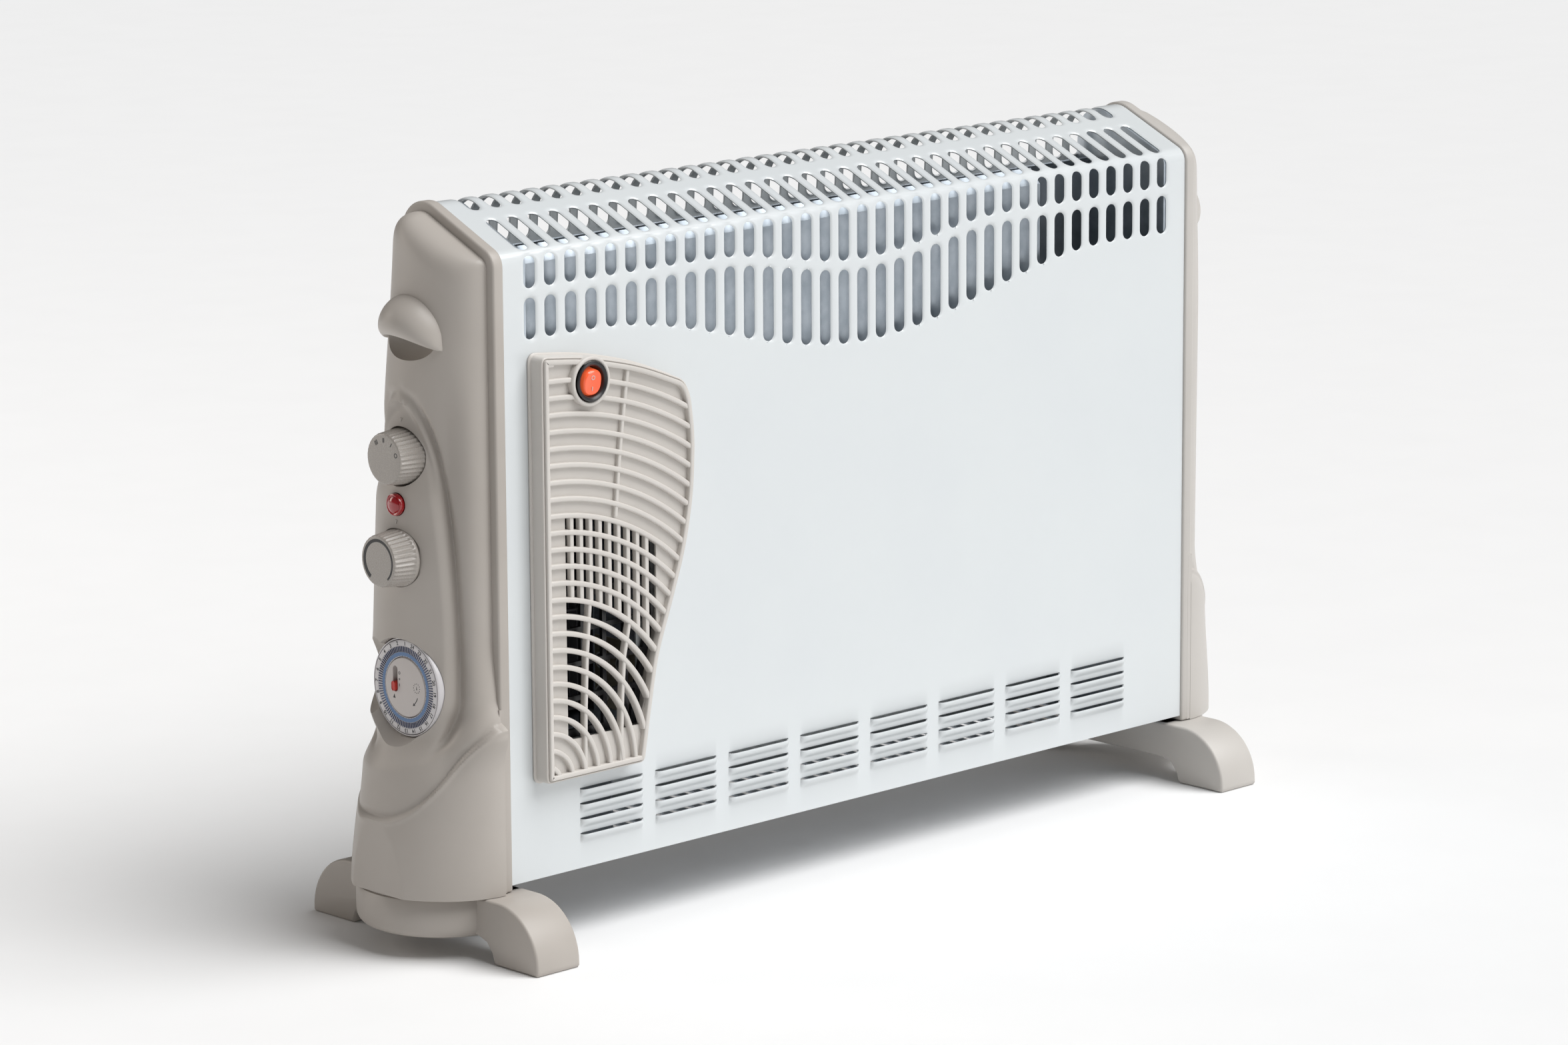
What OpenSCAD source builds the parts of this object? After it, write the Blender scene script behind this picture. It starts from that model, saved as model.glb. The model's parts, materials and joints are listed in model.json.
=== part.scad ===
// Fan convector heater, free standing, millimetres.
// X runs along the width, the front panel faces -Y, Z is up.
// The origin lies on the floor, under the middle of the feet.

/* [Casing] */
// Width of the steel casing between the two end caps
casing_w = 568.4; // [540:0.2:600]
// Height of the casing's lower edge above the floor
casing_z = 41; // [40:0.5:44]
// Thickness of the casing sheet
sheet_t = 1; // [0.8:0.1:1.4]
// Y of the front panel's outer face
front_y = -53.4; // [-56:0.1:-52]
// Bend radius between the front panel and the sloped top
front_bend_r = 10; // [8:0.5:14]
// Bend radius between the sloped top and the back panel
rear_bend_r = 18; // [15:0.5:20]
// Angle by which the top rises towards the back
top_slope = 24.5; // [22:0.5:26]
// Angle by which the back panel leans forward as it rises
back_lean = 4; // [3:0.5:5]

/* [Slots] */
// Number of slots in a row
slot_n = 35; // [21:2:35]
// Distance between neighbouring slots
slot_pitch = 15.5; // [15:0.1:16]
// Width of a slot
slot_w = 8.6; // [7:0.1:10]
// Height of the upper row's top end
slot_top = 402.9; // [400:0.1:404]
// Web between the upper and the lower row
slot_gap = 5.4; // [4:0.1:8]
// How far the upper row dips at the middle
upper_dip = 14; // [0:0.5:18]
// How far the lower row dips at the middle
lower_dip = 34.7; // [0:0.1:40]

/* [Louvres] */
// Number of louvre groups along the front
louvre_cols = 8; // [4:1:8]
// Distance between neighbouring louvre groups
louvre_pitch = 59; // [56:0.5:60]
// Length of one louvre
louvre_len = 49; // [40:0.5:50]
// How far a louvre's hood stands out of the sheet
louvre_out = 2.6; // [1.5:0.1:3.5]

/* [End caps and feet] */
// Thickness of the flange that closes the casing's end
rim_t = 8; // [6:0.5:10]
// Depth of the groove between the flange and the cap's body
groove = 4; // [2:0.5:5]
// Wall of a moulded cap
cap_wall = 2.5; // [2:0.1:3]
// Length of a foot from front to back
foot_len = 198.8; // [190:0.2:210]
// Width of a foot's leg
foot_w = 33; // [28:0.5:36]
// Height of the joint between foot and cap
foot_top = 37.2; // [36:0.1:38]

/* [Controls] */
// Y of the control column's centre line
control_y = -4; // [-6:0.5:-2]
// Height of the selector knob's axis
selector_z = 289.3; // [286:0.1:292]
// Height of the indicator lens
lens_z = 262.1; // [260:0.1:264]
// Height of the thermostat knob's axis
thermostat_z = 231.3; // [228:0.1:234]
// Height of the timer dial's axis
timer_z = 155.1; // [152:0.1:158]
// Diameter of a control knob's face
knob_d = 29.6; // [26:0.1:31]
// Outer diameter of the timer dial
dial_d = 55; // [52:0.5:56]
// Number of switching segments on the dial, one for each quarter of an hour
segment_n = 96; // [48:48:96]

/* [Fan] */
// Centre of the fan along the casing
fan_x = -214.5; // [-216:0.5:-212]
// Outer diameter of the cross-flow impeller
impeller_d = 48; // [40:1:50]
// Length of the impeller
impeller_len = 118; // [100:1:120]
// Number of impeller blades
blade_n = 24; // [12:1:30]
// Diameter of the rocker switch's bezel
rocker_d = 23; // [22:0.5:24]

/* [Hidden] */
$fn = 64;
eps = 0.01;
run_gap = 0.05;            // radial clearance of a turning shaft
body_gap = 0.4;            // clearance between parts that move apart
half_w = casing_w / 2;
front_bend_y = front_y + front_bend_r;
front_bend_z = 398.2;
slope_start = [front_bend_y - front_bend_r * sin(top_slope),
               front_bend_z + front_bend_r * cos(top_slope)];
rear_bend_y = 4.5;
slope_end_y = rear_bend_y - rear_bend_r * sin(top_slope);
slope_end = [slope_end_y,
             slope_start.y + (slope_end_y - slope_start.x) * tan(top_slope)];
rear_bend_z = slope_end.y - rear_bend_r * cos(top_slope);
top_z = rear_bend_z + rear_bend_r;
crest_y = -9.6;            // front end of the back row
crest_end = 406;           // height down to which it is open at the back
foot_in_x = 273.3;
band_x = 288.5;            // centre and radius of the foot's round band
band_r = 51.5;
rim_x = half_w + rim_t;    // where the flange ends and the cap's body starts
cap_floor = foot_top + 0.3;
rim_proud = 1.5;
bulkhead_x = 266;         // inner face of each bulkhead
selector_base_x = -309;
thermostat_base_x = -319;
selector_face_x = -331.5;
thermostat_face_x = -337.2;
column_x = -324.5;
dial_x = -318.5;
shaft_r = 3;
recess_r = 17.3;
switch_x = -301;
bracket_x = -303;
cover_y = -66;
cover_back_y = front_y - 0.1;
cover_corner = [-265.5, 99];
inlet_pos = [-302, 62];    // x and z of the cord inlet
inlet_r = 3.6;
inlet_len = 14;
arc_pitch = 9.7;
window = [-249, 123, -180, 253];   // low x, low z, high x, high z
fan_y = -8;
fan_z = 188;
fan_low = fan_z - impeller_len / 2;
fan_high = fan_z + impeller_len / 2;
rocker_pos = [-230, 328.5];
rocker_axis_y = cover_y + 4;
rocker_tilt = 9;
pin_r = 1.2;
element_z = 128;
element_x = [-150, 258];

beige = [0.72, 0.68, 0.63];
pale = [0.93, 0.94, 0.95];
steel = [0.66, 0.69, 0.71];
black = [0.08, 0.08, 0.09];
mica = [0.72, 0.66, 0.5];
copper = [0.72, 0.4, 0.2];

// ---------- helpers ----------

// Stands a drawing of (y, z) up and extrudes it along +X
module along_x(h) { rotate([90, 0, 90]) linear_extrude(h) children(); }

// Stands a drawing of (x, z) up and extrudes it along +Y
module along_y(h) { translate([0, h, 0]) rotate([90, 0, 0]) linear_extrude(h) children(); }

// A rod along X, from x0 to x1
module rod_x(r, x0, x1, y = 0, z = 0) {
  translate([x0, y, z]) rotate([0, 90, 0]) cylinder(r = r, h = x1 - x0);
}

// A rod along Y, from y0 to y1
module rod_y(r, y0, y1, x = 0, z = 0) {
  translate([x, y0, z]) rotate([-90, 0, 0]) cylinder(r = r, h = y1 - y0);
}

// A box from its low corner to its high corner
module box(low, high) { translate(low) cube(high - low); }

// A round-ended slot of width w between two heights
module slot_2d(w, low, high) {
  translate([-w / 2, low + w / 2]) square([w, high - low - w]);
  translate([0, low + w / 2]) circle(d = w, $fn = 32);
  translate([0, high - w / 2]) circle(d = w, $fn = 32);
}

// Y of the back panel at a height, for an outline drawn in by d
function back_y(z, d = 0) = rear_bend_y + (rear_bend_r - d) / cos(back_lean)
                            + (rear_bend_z - z) * tan(back_lean);

// Points on an arc in the (y, z) plane
function arc(c, r, a0, a1, n) = [for (k = [0 : n]) let (t = a0 + (a1 - a0) * k / n) c + r * [cos(t), sin(t)]];

// The casing's section, drawn in by d, down to the height low
module casing_section(d, low) {
  polygon(concat(
    [[front_y + d, low]],
    arc([front_bend_y, front_bend_z], front_bend_r - d, 180, 90 + top_slope, 7),
    arc([rear_bend_y, rear_bend_z], rear_bend_r - d, 90 + top_slope, back_lean, 13),
    [[back_y(low, d), low]]));
}

// The outlet opening behind the cover, as (x, z), drawn out by d
module window_2d(d) {
  polygon([[window[0] - d, window[1] - d], [-192 + d, window[1] - d], [-187.5 + d, 146],
           [window[2] + d, 172], [window[2] + d, window[3] + d], [window[0] - d, window[3] + d]]);
}

// 0 at the middle of a row, 1 from reach slots outwards
function rise(i, reach) = min(abs(i - (slot_n - 1) / 2) / reach, 1);
function dip(i, reach, depth) = depth * (1 + cos(180 * rise(i, reach))) / 2;
function slot_x(i) = (i - (slot_n - 1) / 2) * slot_pitch;
function upper_end(i) = 384.3 - dip(i, 8, upper_dip);
function lower_end(i) = 355.2 - dip(i, 14, lower_dip);
function louvre_x(i) = (i - (louvre_cols - 1) / 2) * louvre_pitch;

// ---------- casing ----------

module front_slots() {
  translate([0, front_y - 2, 0]) along_y(8)
    for (i = [0 : slot_n - 1]) translate([slot_x(i), 0]) {
      slot_2d(slot_w, upper_end(i), slot_top);
      slot_2d(slot_w, lower_end(i), upper_end(i) - slot_gap);
    }
}

// The front row on the sloped top, square to the slope
module slope_slots() {
  translate([0, slope_start.x, slope_start.y]) rotate([top_slope, 0, 0])
    translate([0, 0, -4]) linear_extrude(8)
      for (i = [0 : slot_n - 1]) translate([slot_x(i), 0]) slot_2d(slot_w, -2, 31);
}

// One round end of a slot, with a straight run of length len above it
module slot_end_2d(w, len) {
  translate([-w / 2, 0]) square([w, len]);
  circle(d = w, $fn = 32);
}

// The back row on top, which wraps over the rear bend
module crest_slots() {
  for (i = [0 : slot_n - 1]) translate([slot_x(i), 0, 0]) {
    translate([0, crest_y + slot_w / 2, crest_end]) linear_extrude(40) slot_end_2d(slot_w, 50);
    translate([0, crest_y + 24, crest_end - 4]) along_y(30) slot_end_2d(slot_w, 9);
  }
}

module louvre_slits() {
  for (i = [0 : louvre_cols - 1], k = [0 : 3])
    translate([louvre_x(i) - louvre_len / 2, front_y - 1, 56 + 8.9 * k])
      cube([louvre_len, 4, 5.7]);
}

module louvre_hoods() {
  for (i = [0 : louvre_cols - 1], k = [0 : 3])
    translate([louvre_x(i) - louvre_len / 2, front_y, 55.5 + 8.9 * k]) difference() {
      along_x(louvre_len) polygon([[0, 0], [-louvre_out, 4.6], [-louvre_out, 5.6],
                                   [sheet_t, 5.6], [sheet_t, 0]]);
      translate([0.8, 0, 0]) along_x(louvre_len - 1.6)
        polygon([[0.2, 1.1], [-louvre_out + 0.8, 4.9], [-louvre_out + 0.8, 7], [3, 7], [3, 1.1]]);
    }
}

module casing_wrap() {
  color(pale) {
    difference() {
      translate([-half_w, 0, 0]) along_x(casing_w) difference() {
        casing_section(0, casing_z);
        casing_section(sheet_t, casing_z - 1);
      }
      front_slots();
      slope_slots();
      crest_slots();
      louvre_slits();
      translate([0, front_y - 2, 0]) along_y(6) window_2d(0);
      rod_y(10.5, front_y - 2, front_y + 4, rocker_pos.x, rocker_pos.y);
      for (p = cover_screw_points()) rod_y(1.7, front_y - 2, front_y + 4, p.x, p.y);
      for (z = [60 : 9 : 96], x = [-240 : 40 : 240])
        translate([x, back_y(z) - 6, z]) cube([30, 12, 3.2]);
    }
    louvre_hoods();
  }
}

module bottom_plate() {
  back = back_y(casing_z + 2, sheet_t) - 0.5;
  color(steel) difference() {
    box([-half_w + 0.5, front_y + sheet_t + 0.1, casing_z], [half_w - 0.5, back, casing_z + 1.2]);
    for (x = [-240 : 12 : 240]) translate([x, -2, casing_z - 1]) linear_extrude(4) slot_2d(6, -34, 34);
    for (p = foot_screw_points()) translate([p.x, p.y, casing_z - 1]) cylinder(r = 1.8, h = 4);
    for (p = foot_screw_points()) translate([-p.x, p.y, casing_z - 1]) cylinder(r = 1.8, h = 4);
  }
}

module bulkhead(x) {
  translate([x, 0, 0]) difference() {
    union() {
      along_x(0.8) casing_section(sheet_t + 0.2, casing_z + 1.5);
      along_x(8) difference() {
        casing_section(sheet_t + 0.2, casing_z + 1.5);
        casing_section(sheet_t + 1, casing_z);
      }
    }
    for (z = [150 : 70 : 290]) rod_x(9, -2, 4, 5, z);
    for (p = cap_screw_points()) rod_x(1.8, -2, 4, p.x, p.y);
  }
}

module left_bulkhead() { color(steel) mirror([1, 0, 0]) bulkhead(bulkhead_x); }
module right_bulkhead() { color(steel) bulkhead(bulkhead_x); }

// Inner plates that make a warm-air duct; the front one leaves room for the fan and its switch
shield_x = [-bulkhead_x + 0.5, -130, 163];
shield_low = 290;
module front_heat_shield() {
  y = front_y + 11;
  color(steel) difference() {
    translate([shield_x[0], 0, 0]) along_x(shield_x[2] - shield_x[0])
      polygon([[y, 108], [y, 396], [y + 8, 405], [y + 7.3, 405.6], [y - 0.8, 396.4], [y - 0.8, 108]]);
    box([shield_x[0] - 1, y - 5, 100], [shield_x[1], y + 5, shield_low]);
    rod_y(13, y - 5, y + 5, rocker_pos.x, rocker_pos.y);
  }
}

module rear_heat_shield() {
  color(steel) translate([-bulkhead_x + 0.5, 0, 0]) along_x(2 * bulkhead_x - 1)
    polygon([[back_y(108) - 9, 108], [back_y(392) - 9, 392], [back_y(392) - 16, 398],
             [back_y(392) - 16.6, 397.4], [back_y(392) - 9.8, 391.6], [back_y(108) - 9.8, 108]]);
}

// ---------- end caps ----------

// Front and back limits of the cap's body at a height
function body_front(z) = z < front_bend_z ? front_y + groove
  : z < slope_start.y ? front_y + groove + (z - front_bend_z) * (slope_start.x - front_y) / (slope_start.y - front_bend_z)
  : slope_start.x + groove + (z - slope_start.y) / tan(top_slope);
function body_back(z) = z < rear_bend_z ? back_y(z, groove)
  : rear_bend_y + sqrt(max(0, pow(rear_bend_r - groove, 2) - pow(z - rear_bend_z, 2)));
function smooth(t) = let (u = min(max(t, 0), 1)) u * u * (3 - 2 * u);

// How far the body bulges beyond the flange at a height
function bulge(z) = 28.5 + 9 * smooth((150 - z) / 40) + 9 * smooth((118 - z) / 80)
  - 6 * smooth((z - 300) / 110) - 10 * pow(max(0, (z - 400) / (top_z - groove - 400)), 2);

// Heights of the body's sections, from the foot to the crown
body_levels = [cap_floor, 60, 80, 95, 108, 120, 135, 150, 180, 220, 260, 300, 330, 355,
               375, 390, 399, 404, 409, 413, 417, 420.5, 423.5, top_z - groove - 0.6];
ring_n = 20;

// One D-shaped section of the body, drawn in by d
function d_section(z, d) = let (y0 = (body_front(z) + body_back(z)) / 2,
    b = max(0.5, (body_back(z) - body_front(z)) / 2 - d), a = max(0.5, bulge(z) - d))
  [for (k = [0 : ring_n]) let (t = -90 + 180 * k / ring_n)
    [rim_x - eps - (d > 0 ? 3 : 0) + (d > 0 ? 3 : 0) * cos(t) + a * cos(t), y0 + b * sin(t), z]];

module loft(rings) {
  n = len(rings[0]);
  m = len(rings);
  polyhedron(
    points = [for (r = rings, p = r) p],
    faces = concat(
      [for (j = [0 : m - 2], i = [0 : n - 1]) let (k = (i + 1) % n)
        [j * n + i, (j + 1) * n + i, (j + 1) * n + k]],
      [for (j = [0 : m - 2], i = [0 : n - 1]) let (k = (i + 1) % n)
        [j * n + i, (j + 1) * n + k, j * n + k]],
      [[for (i = [0 : n - 1]) i], [for (i = [n - 1 : -1 : 0]) (m - 1) * n + i]]));
}

module cap_body() {
  loft([for (z = body_levels) d_section(z, 0)]);
}

module cap_hollow() {
  inner = [for (z = body_levels) if (z < top_z - 12) z];
  loft([for (z = concat([cap_floor - 1], inner)) d_section(z, cap_wall)]);
}

// The carrying hood: a quarter-round brow with a finger recess under it
hood_y = -8;
hood_half = 27;
hood_low = 351;
hood_r = 27.5;
hood_x = rim_x + 10;
pocket = [[rim_x + 10, hood_y - 20, 343], [hood_x + hood_r + 3, hood_y + 20, hood_low + 8]];
pocket_wall = 2.2;

// The brow's solid, drawn in by d
module hood(d) {
  low = hood_low + 1.2 - d / 3;
  intersection() {
    translate([hood_x - 4, 0, 0]) along_x(hood_r + 5) translate([hood_y, hood_low]) circle(hood_half - d);
    rod_y(hood_r - d, hood_y - 40, hood_y + 40, hood_x, hood_low);
    box([hood_x - 3, hood_y - 39, low], [hood_x + 40, hood_y + 39, hood_low + 40]);
  }
}

module end_cap() {
  difference() {
    union() {
      difference() {
        union() {
          translate([half_w, 0, 0]) along_x(rim_t) casing_section(-rim_proud, cap_floor);
          translate([half_w - 8, 0, 0]) along_x(8.1) casing_section(sheet_t + 0.1, cap_floor + 6);
          cap_body();
          hood(0);
        }
        translate([half_w - 9, 0, 0]) along_x(rim_t + 9.1) casing_section(cap_wall + 1.5, cap_floor - 1);
        cap_hollow();
      }
      box(pocket[0] - [pocket_wall, pocket_wall, pocket_wall],
          [rim_x + 25, pocket[1].y + pocket_wall, pocket[1].z + pocket_wall]);
      for (p = cap_screw_points())
        rod_x(4.5, bulkhead_x + 0.9, rim_x + (p.y < 200 ? 33 : 20.8), p.x, p.y);
    }
    box(pocket[0], pocket[1]);
    hood(3);
    for (p = cap_screw_points()) rod_x(1.7, bulkhead_x, half_w + 4, p.x, p.y);
  }
}

// The raised panel that carries the controls, pointed above and round below
module column_2d(d = 0) {
  translate([control_y, timer_z]) circle(37 - d);
  polygon([[control_y - 36.4 + d, timer_z + 7], [control_y - 33 + d, timer_z + 40],
           [control_y - 24 + d, selector_z], [control_y - 14 + d, selector_z + 22],
           [control_y, selector_z + 33 - d], [control_y + 14 - d, selector_z + 22],
           [control_y + 24 - d, selector_z], [control_y + 33 - d, timer_z + 40],
           [control_y + 36.4 - d, timer_z + 7]]);
}

module left_end_cap() {
  column_low = -bracket_x + 0.5;
  color(beige) mirror([1, 0, 0]) difference() {
    union() {
      end_cap();
      difference() {
        translate([column_low, 0, 0]) along_x(-column_x - column_low) column_2d();
        translate([rim_x, 0, 0]) along_x(-column_x - rim_x - cap_wall) column_2d(cap_wall);
      }
      for (z = [selector_z, thermostat_z]) rod_x(recess_r + 2, -bracket_x + 1, -column_x, control_y, z);
      for (p = bracket_screw_points()) rod_x(3.6, -bracket_x + 0.05, rim_x + 24, p.x, p.y);
    }
    knob_recess(selector_z, -selector_base_x);
    knob_recess(thermostat_z, -thermostat_base_x);
    rod_x(6.1, 290, 350, control_y, lens_z);
    rod_x(dial_d / 2 + 3.4, 290, 350, control_y, timer_z);
    for (p = bracket_screw_points()) rod_x(1.65, 300, 311, p.x, p.y);
    rod_y(6.1, 30, 60, -inlet_pos.x, inlet_pos.y);
  }
}

// The round recess behind a knob, with the hole for its shaft
module knob_recess(z, base) {
  rod_x(recess_r, base - 1, 350, control_y, z);
  rod_x(shaft_r + 0.6, 290, 350, control_y, z);
  rod_x(recess_r - 2, 290, base - 4, control_y, z);
}

module right_end_cap() { color(beige) end_cap(); }

// ---------- feet ----------

function foot_screw_points() = [for (y = [-34, -12, 12, 34]) [280, y]];

// Side view of a foot's leg, one half, at y > 0
module leg_half_2d() {
  heel = foot_len / 2;
  r = 34;
  difference() {
    union() {
      translate([0, 0]) square([heel - r, foot_top]);
      translate([heel - r, foot_top - r]) circle(r);
      translate([heel - r, 0]) square([r, foot_top - r]);
    }
    polygon([[-1, -1], [62, -1], [62, 0], [60, 6.5], [55.5, 12], [48, 14.5], [-1, 16]]);
    translate([heel, -1]) square([5, foot_top + 2]);
  }
}

module foot_leg() {
  intersection() {
    translate([foot_in_x, 0, 0]) {
      along_x(foot_w) leg_half_2d();
      mirror([0, 1, 0]) along_x(foot_w) leg_half_2d();
    }
    box([foot_in_x - 1, -foot_len, 0], [foot_in_x + foot_w + 1, foot_len, foot_top]);
  }
}

// Round band under the cap, in line with its skirt, with a rounded lower edge
module band_2d() {
  polygon([[0, 15.5], [band_r - 9, 15.5], [band_r - 4.5, 16.8], [band_r - 1.5, 20], [band_r, 25], [band_r, foot_top],
           [0, foot_top]]);
}

module foot_band() {
  translate([band_x, 0, 0]) {
    rotate([0, 0, -90]) rotate_extrude(angle = 180) band_2d();
    translate([foot_in_x - band_x, 0, 0]) {
      along_x(band_x - foot_in_x) band_2d();
      mirror([0, 1, 0]) along_x(band_x - foot_in_x) band_2d();
    }
  }
}

module foot() {
  difference() {
    union() {
      foot_leg();
      foot_band();
      for (p = foot_screw_points()) translate([p.x, p.y, foot_top - 1])
        cylinder(r = 3.9, h = casing_z - foot_top + 0.95);
    }
    // hollows under the band and inside the leg
    translate([foot_in_x + 3, 0, 0]) along_x(foot_w - 6)
      polygon([[-44, 12], [44, 12], [40, foot_top - 5], [-40, foot_top - 5]]);
    translate([318, 0, 10]) cylinder(r = 22, h = foot_top - 15);
    for (p = foot_screw_points()) translate([p.x, p.y, foot_top - 10]) cylinder(r = 1.75, h = 30);
  }
}

module left_foot() { color(beige) mirror([1, 0, 0]) foot(); }
module right_foot() { color(beige) foot(); }

module foot_screw() {
  cylinder(r = 1.7, h = 13);
  translate([0, 0, -2.2]) cylinder(r = 3.6, h = 2.2);
}

module foot_screws() {
  color(steel) for (s = [-1, 1], p = foot_screw_points())
    translate([s * p.x, p.y, foot_top - 5.05]) foot_screw();
}

function cap_screw_points() = [for (z = [80, 325], y = [-34, 14]) [y, z]];

module cap_screws() {
  color(steel) for (s = [0, 1], p = cap_screw_points()) mirror([s, 0, 0]) {
    rod_x(1.65, bulkhead_x - 0.1, half_w + 3, p.x, p.y);
    rod_x(3.6, bulkhead_x - 2.2, bulkhead_x - 0.05, p.x, p.y);
  }
}

// ---------- controls ----------

module control_bracket() {
  color(steel) difference() {
    box([bracket_x, control_y - 30, 205], [bracket_x + 1.5, control_y + 22.5, 312]);
    for (z = [selector_z, thermostat_z]) rod_x(shaft_r + 1.6, bracket_x - 1, bracket_x + 4, control_y, z);
    rod_x(5, bracket_x - 1, bracket_x + 4, control_y, lens_z);
    for (p = bracket_screw_points()) rod_x(1.8, bracket_x - 1, bracket_x + 4, p.x, p.y);
  }
}

function bracket_screw_points() = [for (y = [-24, 18], z = [211, 306]) [control_y + y, z]];

module bracket_screws() {
  color(steel) for (p = bracket_screw_points()) {
    rod_x(1.6, bracket_x - 7, bracket_x + 1.5, p.x, p.y);
    rod_x(3.2, bracket_x + 1.5, bracket_x + 3.6, p.x, p.y);
  }
}

// A ribbed control knob on its shaft, from its base to its face
module knob(base, face, z) {
  len = base - face;
  translate([face, control_y, z]) rotate([0, 90, 0]) difference() {
    union() {
      cylinder(d1 = knob_d - 3, d2 = knob_d - 0.6, h = 1.2);
      translate([0, 0, 1.2]) cylinder(d = knob_d - 2.4, h = len - 4);
      translate([0, 0, len - 3.6]) cylinder(d = knob_d + 3, h = 3.6);
      for (k = [0 : 35]) rotate([0, 0, 10 * k])
        translate([knob_d / 2 - 1.8, -0.7, 1.2]) cube([1.6, 1.4, len - 4.4]);
    }
    translate([0, 0, 4]) cylinder(r = shaft_r, h = len);
  }
}

module selector_knob() { color(beige) knob(selector_base_x, selector_face_x, selector_z); }
module thermostat_knob() { color(beige) knob(thermostat_base_x, thermostat_face_x, thermostat_z); }
module selector_shaft() { color(steel) rod_x(shaft_r, selector_face_x + 4, switch_x + 12, control_y, selector_z); }
module thermostat_shaft() { color(steel) rod_x(shaft_r, thermostat_face_x + 4, switch_x + 12, control_y, thermostat_z); }

// A switch or thermostat body with a bush for its shaft
module switch_body(z, size) {
  difference() {
    union() {
      box([switch_x, control_y - size.x / 2, z - size.y / 2],
          [switch_x + size.z, control_y + size.x / 2, z + size.y / 2]);
      for (y = [-size.x / 3, 0, size.x / 3]) for (dz = [-size.y / 4, size.y / 4])
        box([switch_x + size.z - 0.1, control_y + y - 0.4, z + dz - 3],
            [switch_x + size.z + 7, control_y + y + 0.4, z + dz + 3]);
    }
    rod_x(shaft_r + run_gap, switch_x - 1, switch_x + 12 + body_gap, control_y, z);
  }
}

module selector_switch() { color(black) switch_body(selector_z, [30, 28, 20]); }
module thermostat_body() { color(mica) switch_body(thermostat_z, [32, 26, 18]); }

module indicator_lens() {
  color([0.8, 0.1, 0.08]) translate([0, control_y, lens_z]) rotate([0, -90, 0]) difference() {
    union() {
      translate([0, 0, 312]) cylinder(r = 6, h = -column_x - 312);
      translate([0, 0, -column_x]) cylinder(r1 = 6.45, r2 = 5.2, h = 1.6);
    }
    translate([0, 0, 311]) cylinder(r = 4.2, h = 12);
  }
}

module neon_lamp() {
  color([0.9, 0.5, 0.3]) {
    rod_x(2.2, -320, -306, control_y, lens_z);
    rod_x(0.4, -306, -300, control_y - 1, lens_z);
    rod_x(0.4, -306, -300, control_y + 1, lens_z);
  }
}

// ---------- timer ----------

post_r = 17.6;
module timer_housing() {
  color(beige) {
    difference() {
      rod_x(dial_d / 2 + 3.2, dial_x, -300, control_y, timer_z);
      rod_x(dial_d / 2 + body_gap, dial_x - 1, dial_x + 10, control_y, timer_z);
    }
    difference() {
      rod_x(post_r, dial_x + 1.6, dial_x + 11, control_y, timer_z);
      slider_slot(dial_x - 1, dial_x + 8);
    }
    box([-300.01, control_y - 24, timer_z - 22], [-280, control_y + 24, timer_z + 22]);
  }
}

module timer_dial() {
  color([0.93, 0.93, 0.92]) difference() {
    union() {
      rod_x(dial_d / 2, dial_x + 1, dial_x + 8, control_y, timer_z);
      rod_x(21, dial_x + 0.2, dial_x + 4, control_y, timer_z);
    }
    rod_x(post_r + run_gap, dial_x - 1, dial_x + 9, control_y, timer_z);
    difference() {
      rod_x(dial_d / 2 - 1.2, dial_x - 1, dial_x + 4.6, control_y, timer_z);
      rod_x(21, dial_x - 2, dial_x + 6, control_y, timer_z);
    }
  }
}

module timer_segments() {
  step = 360 / segment_n;
  color([0.12, 0.2, 0.45]) translate([dial_x + 0.6, control_y, timer_z]) rotate([0, 90, 0])
    for (k = [0 : segment_n - 1]) rotate([0, 0, k * step])
      linear_extrude(4) polygon([[21.1, -0.5], [dial_d / 2 - 1.3, -0.62], [dial_d / 2 - 1.3, 0.62], [21.1, 0.5]]);
}

slider_y = 8.5;
module slider_slot(x0, x1) {
  box([x0, control_y + slider_y - 1.9, timer_z - 3], [x1, control_y + slider_y + 1.9, timer_z + 11]);
}

module timer_face() {
  color([0.95, 0.95, 0.94]) difference() {
    rod_x(17, dial_x - 0.2, dial_x + 1.6, control_y, timer_z);
    slider_slot(dial_x - 1, dial_x + 3);
  }
}

module timer_slider() {
  color([0.8, 0.15, 0.1])
    box([dial_x - 2.2, control_y + slider_y - 1.5, timer_z - 2.5],
        [dial_x + 5, control_y + slider_y + 1.5, timer_z + 2]);
}

// ---------- fan outlet ----------

function cover_screw_points() = [[-258, 110], [-258, 338], [-192, 110], [-166, 310]];

// Outline of the outlet cover, as (x, z)
module cover_2d() {
  polygon([[-265.9, 98.7], [-189.9, 98.7], [-183.4, 134.5], [-178.3, 160.9], [-168.2, 186.5],
           [-155.7, 220.8], [-149.2, 252.4], [-147.7, 286.4], [-151, 310], [-156, 319.7],
           [-190, 333.3], [-230, 342.9], [-265.9, 346.8]]);
}

module cover_inner_2d() { offset(delta = -4.5) cover_2d(); }

module cover_arcs_2d() {
  translate(cover_corner) for (k = [1 : 27]) difference() {
    circle(k * arc_pitch + 1.6);
    circle(k * arc_pitch - 1.6);
  }
}

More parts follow.
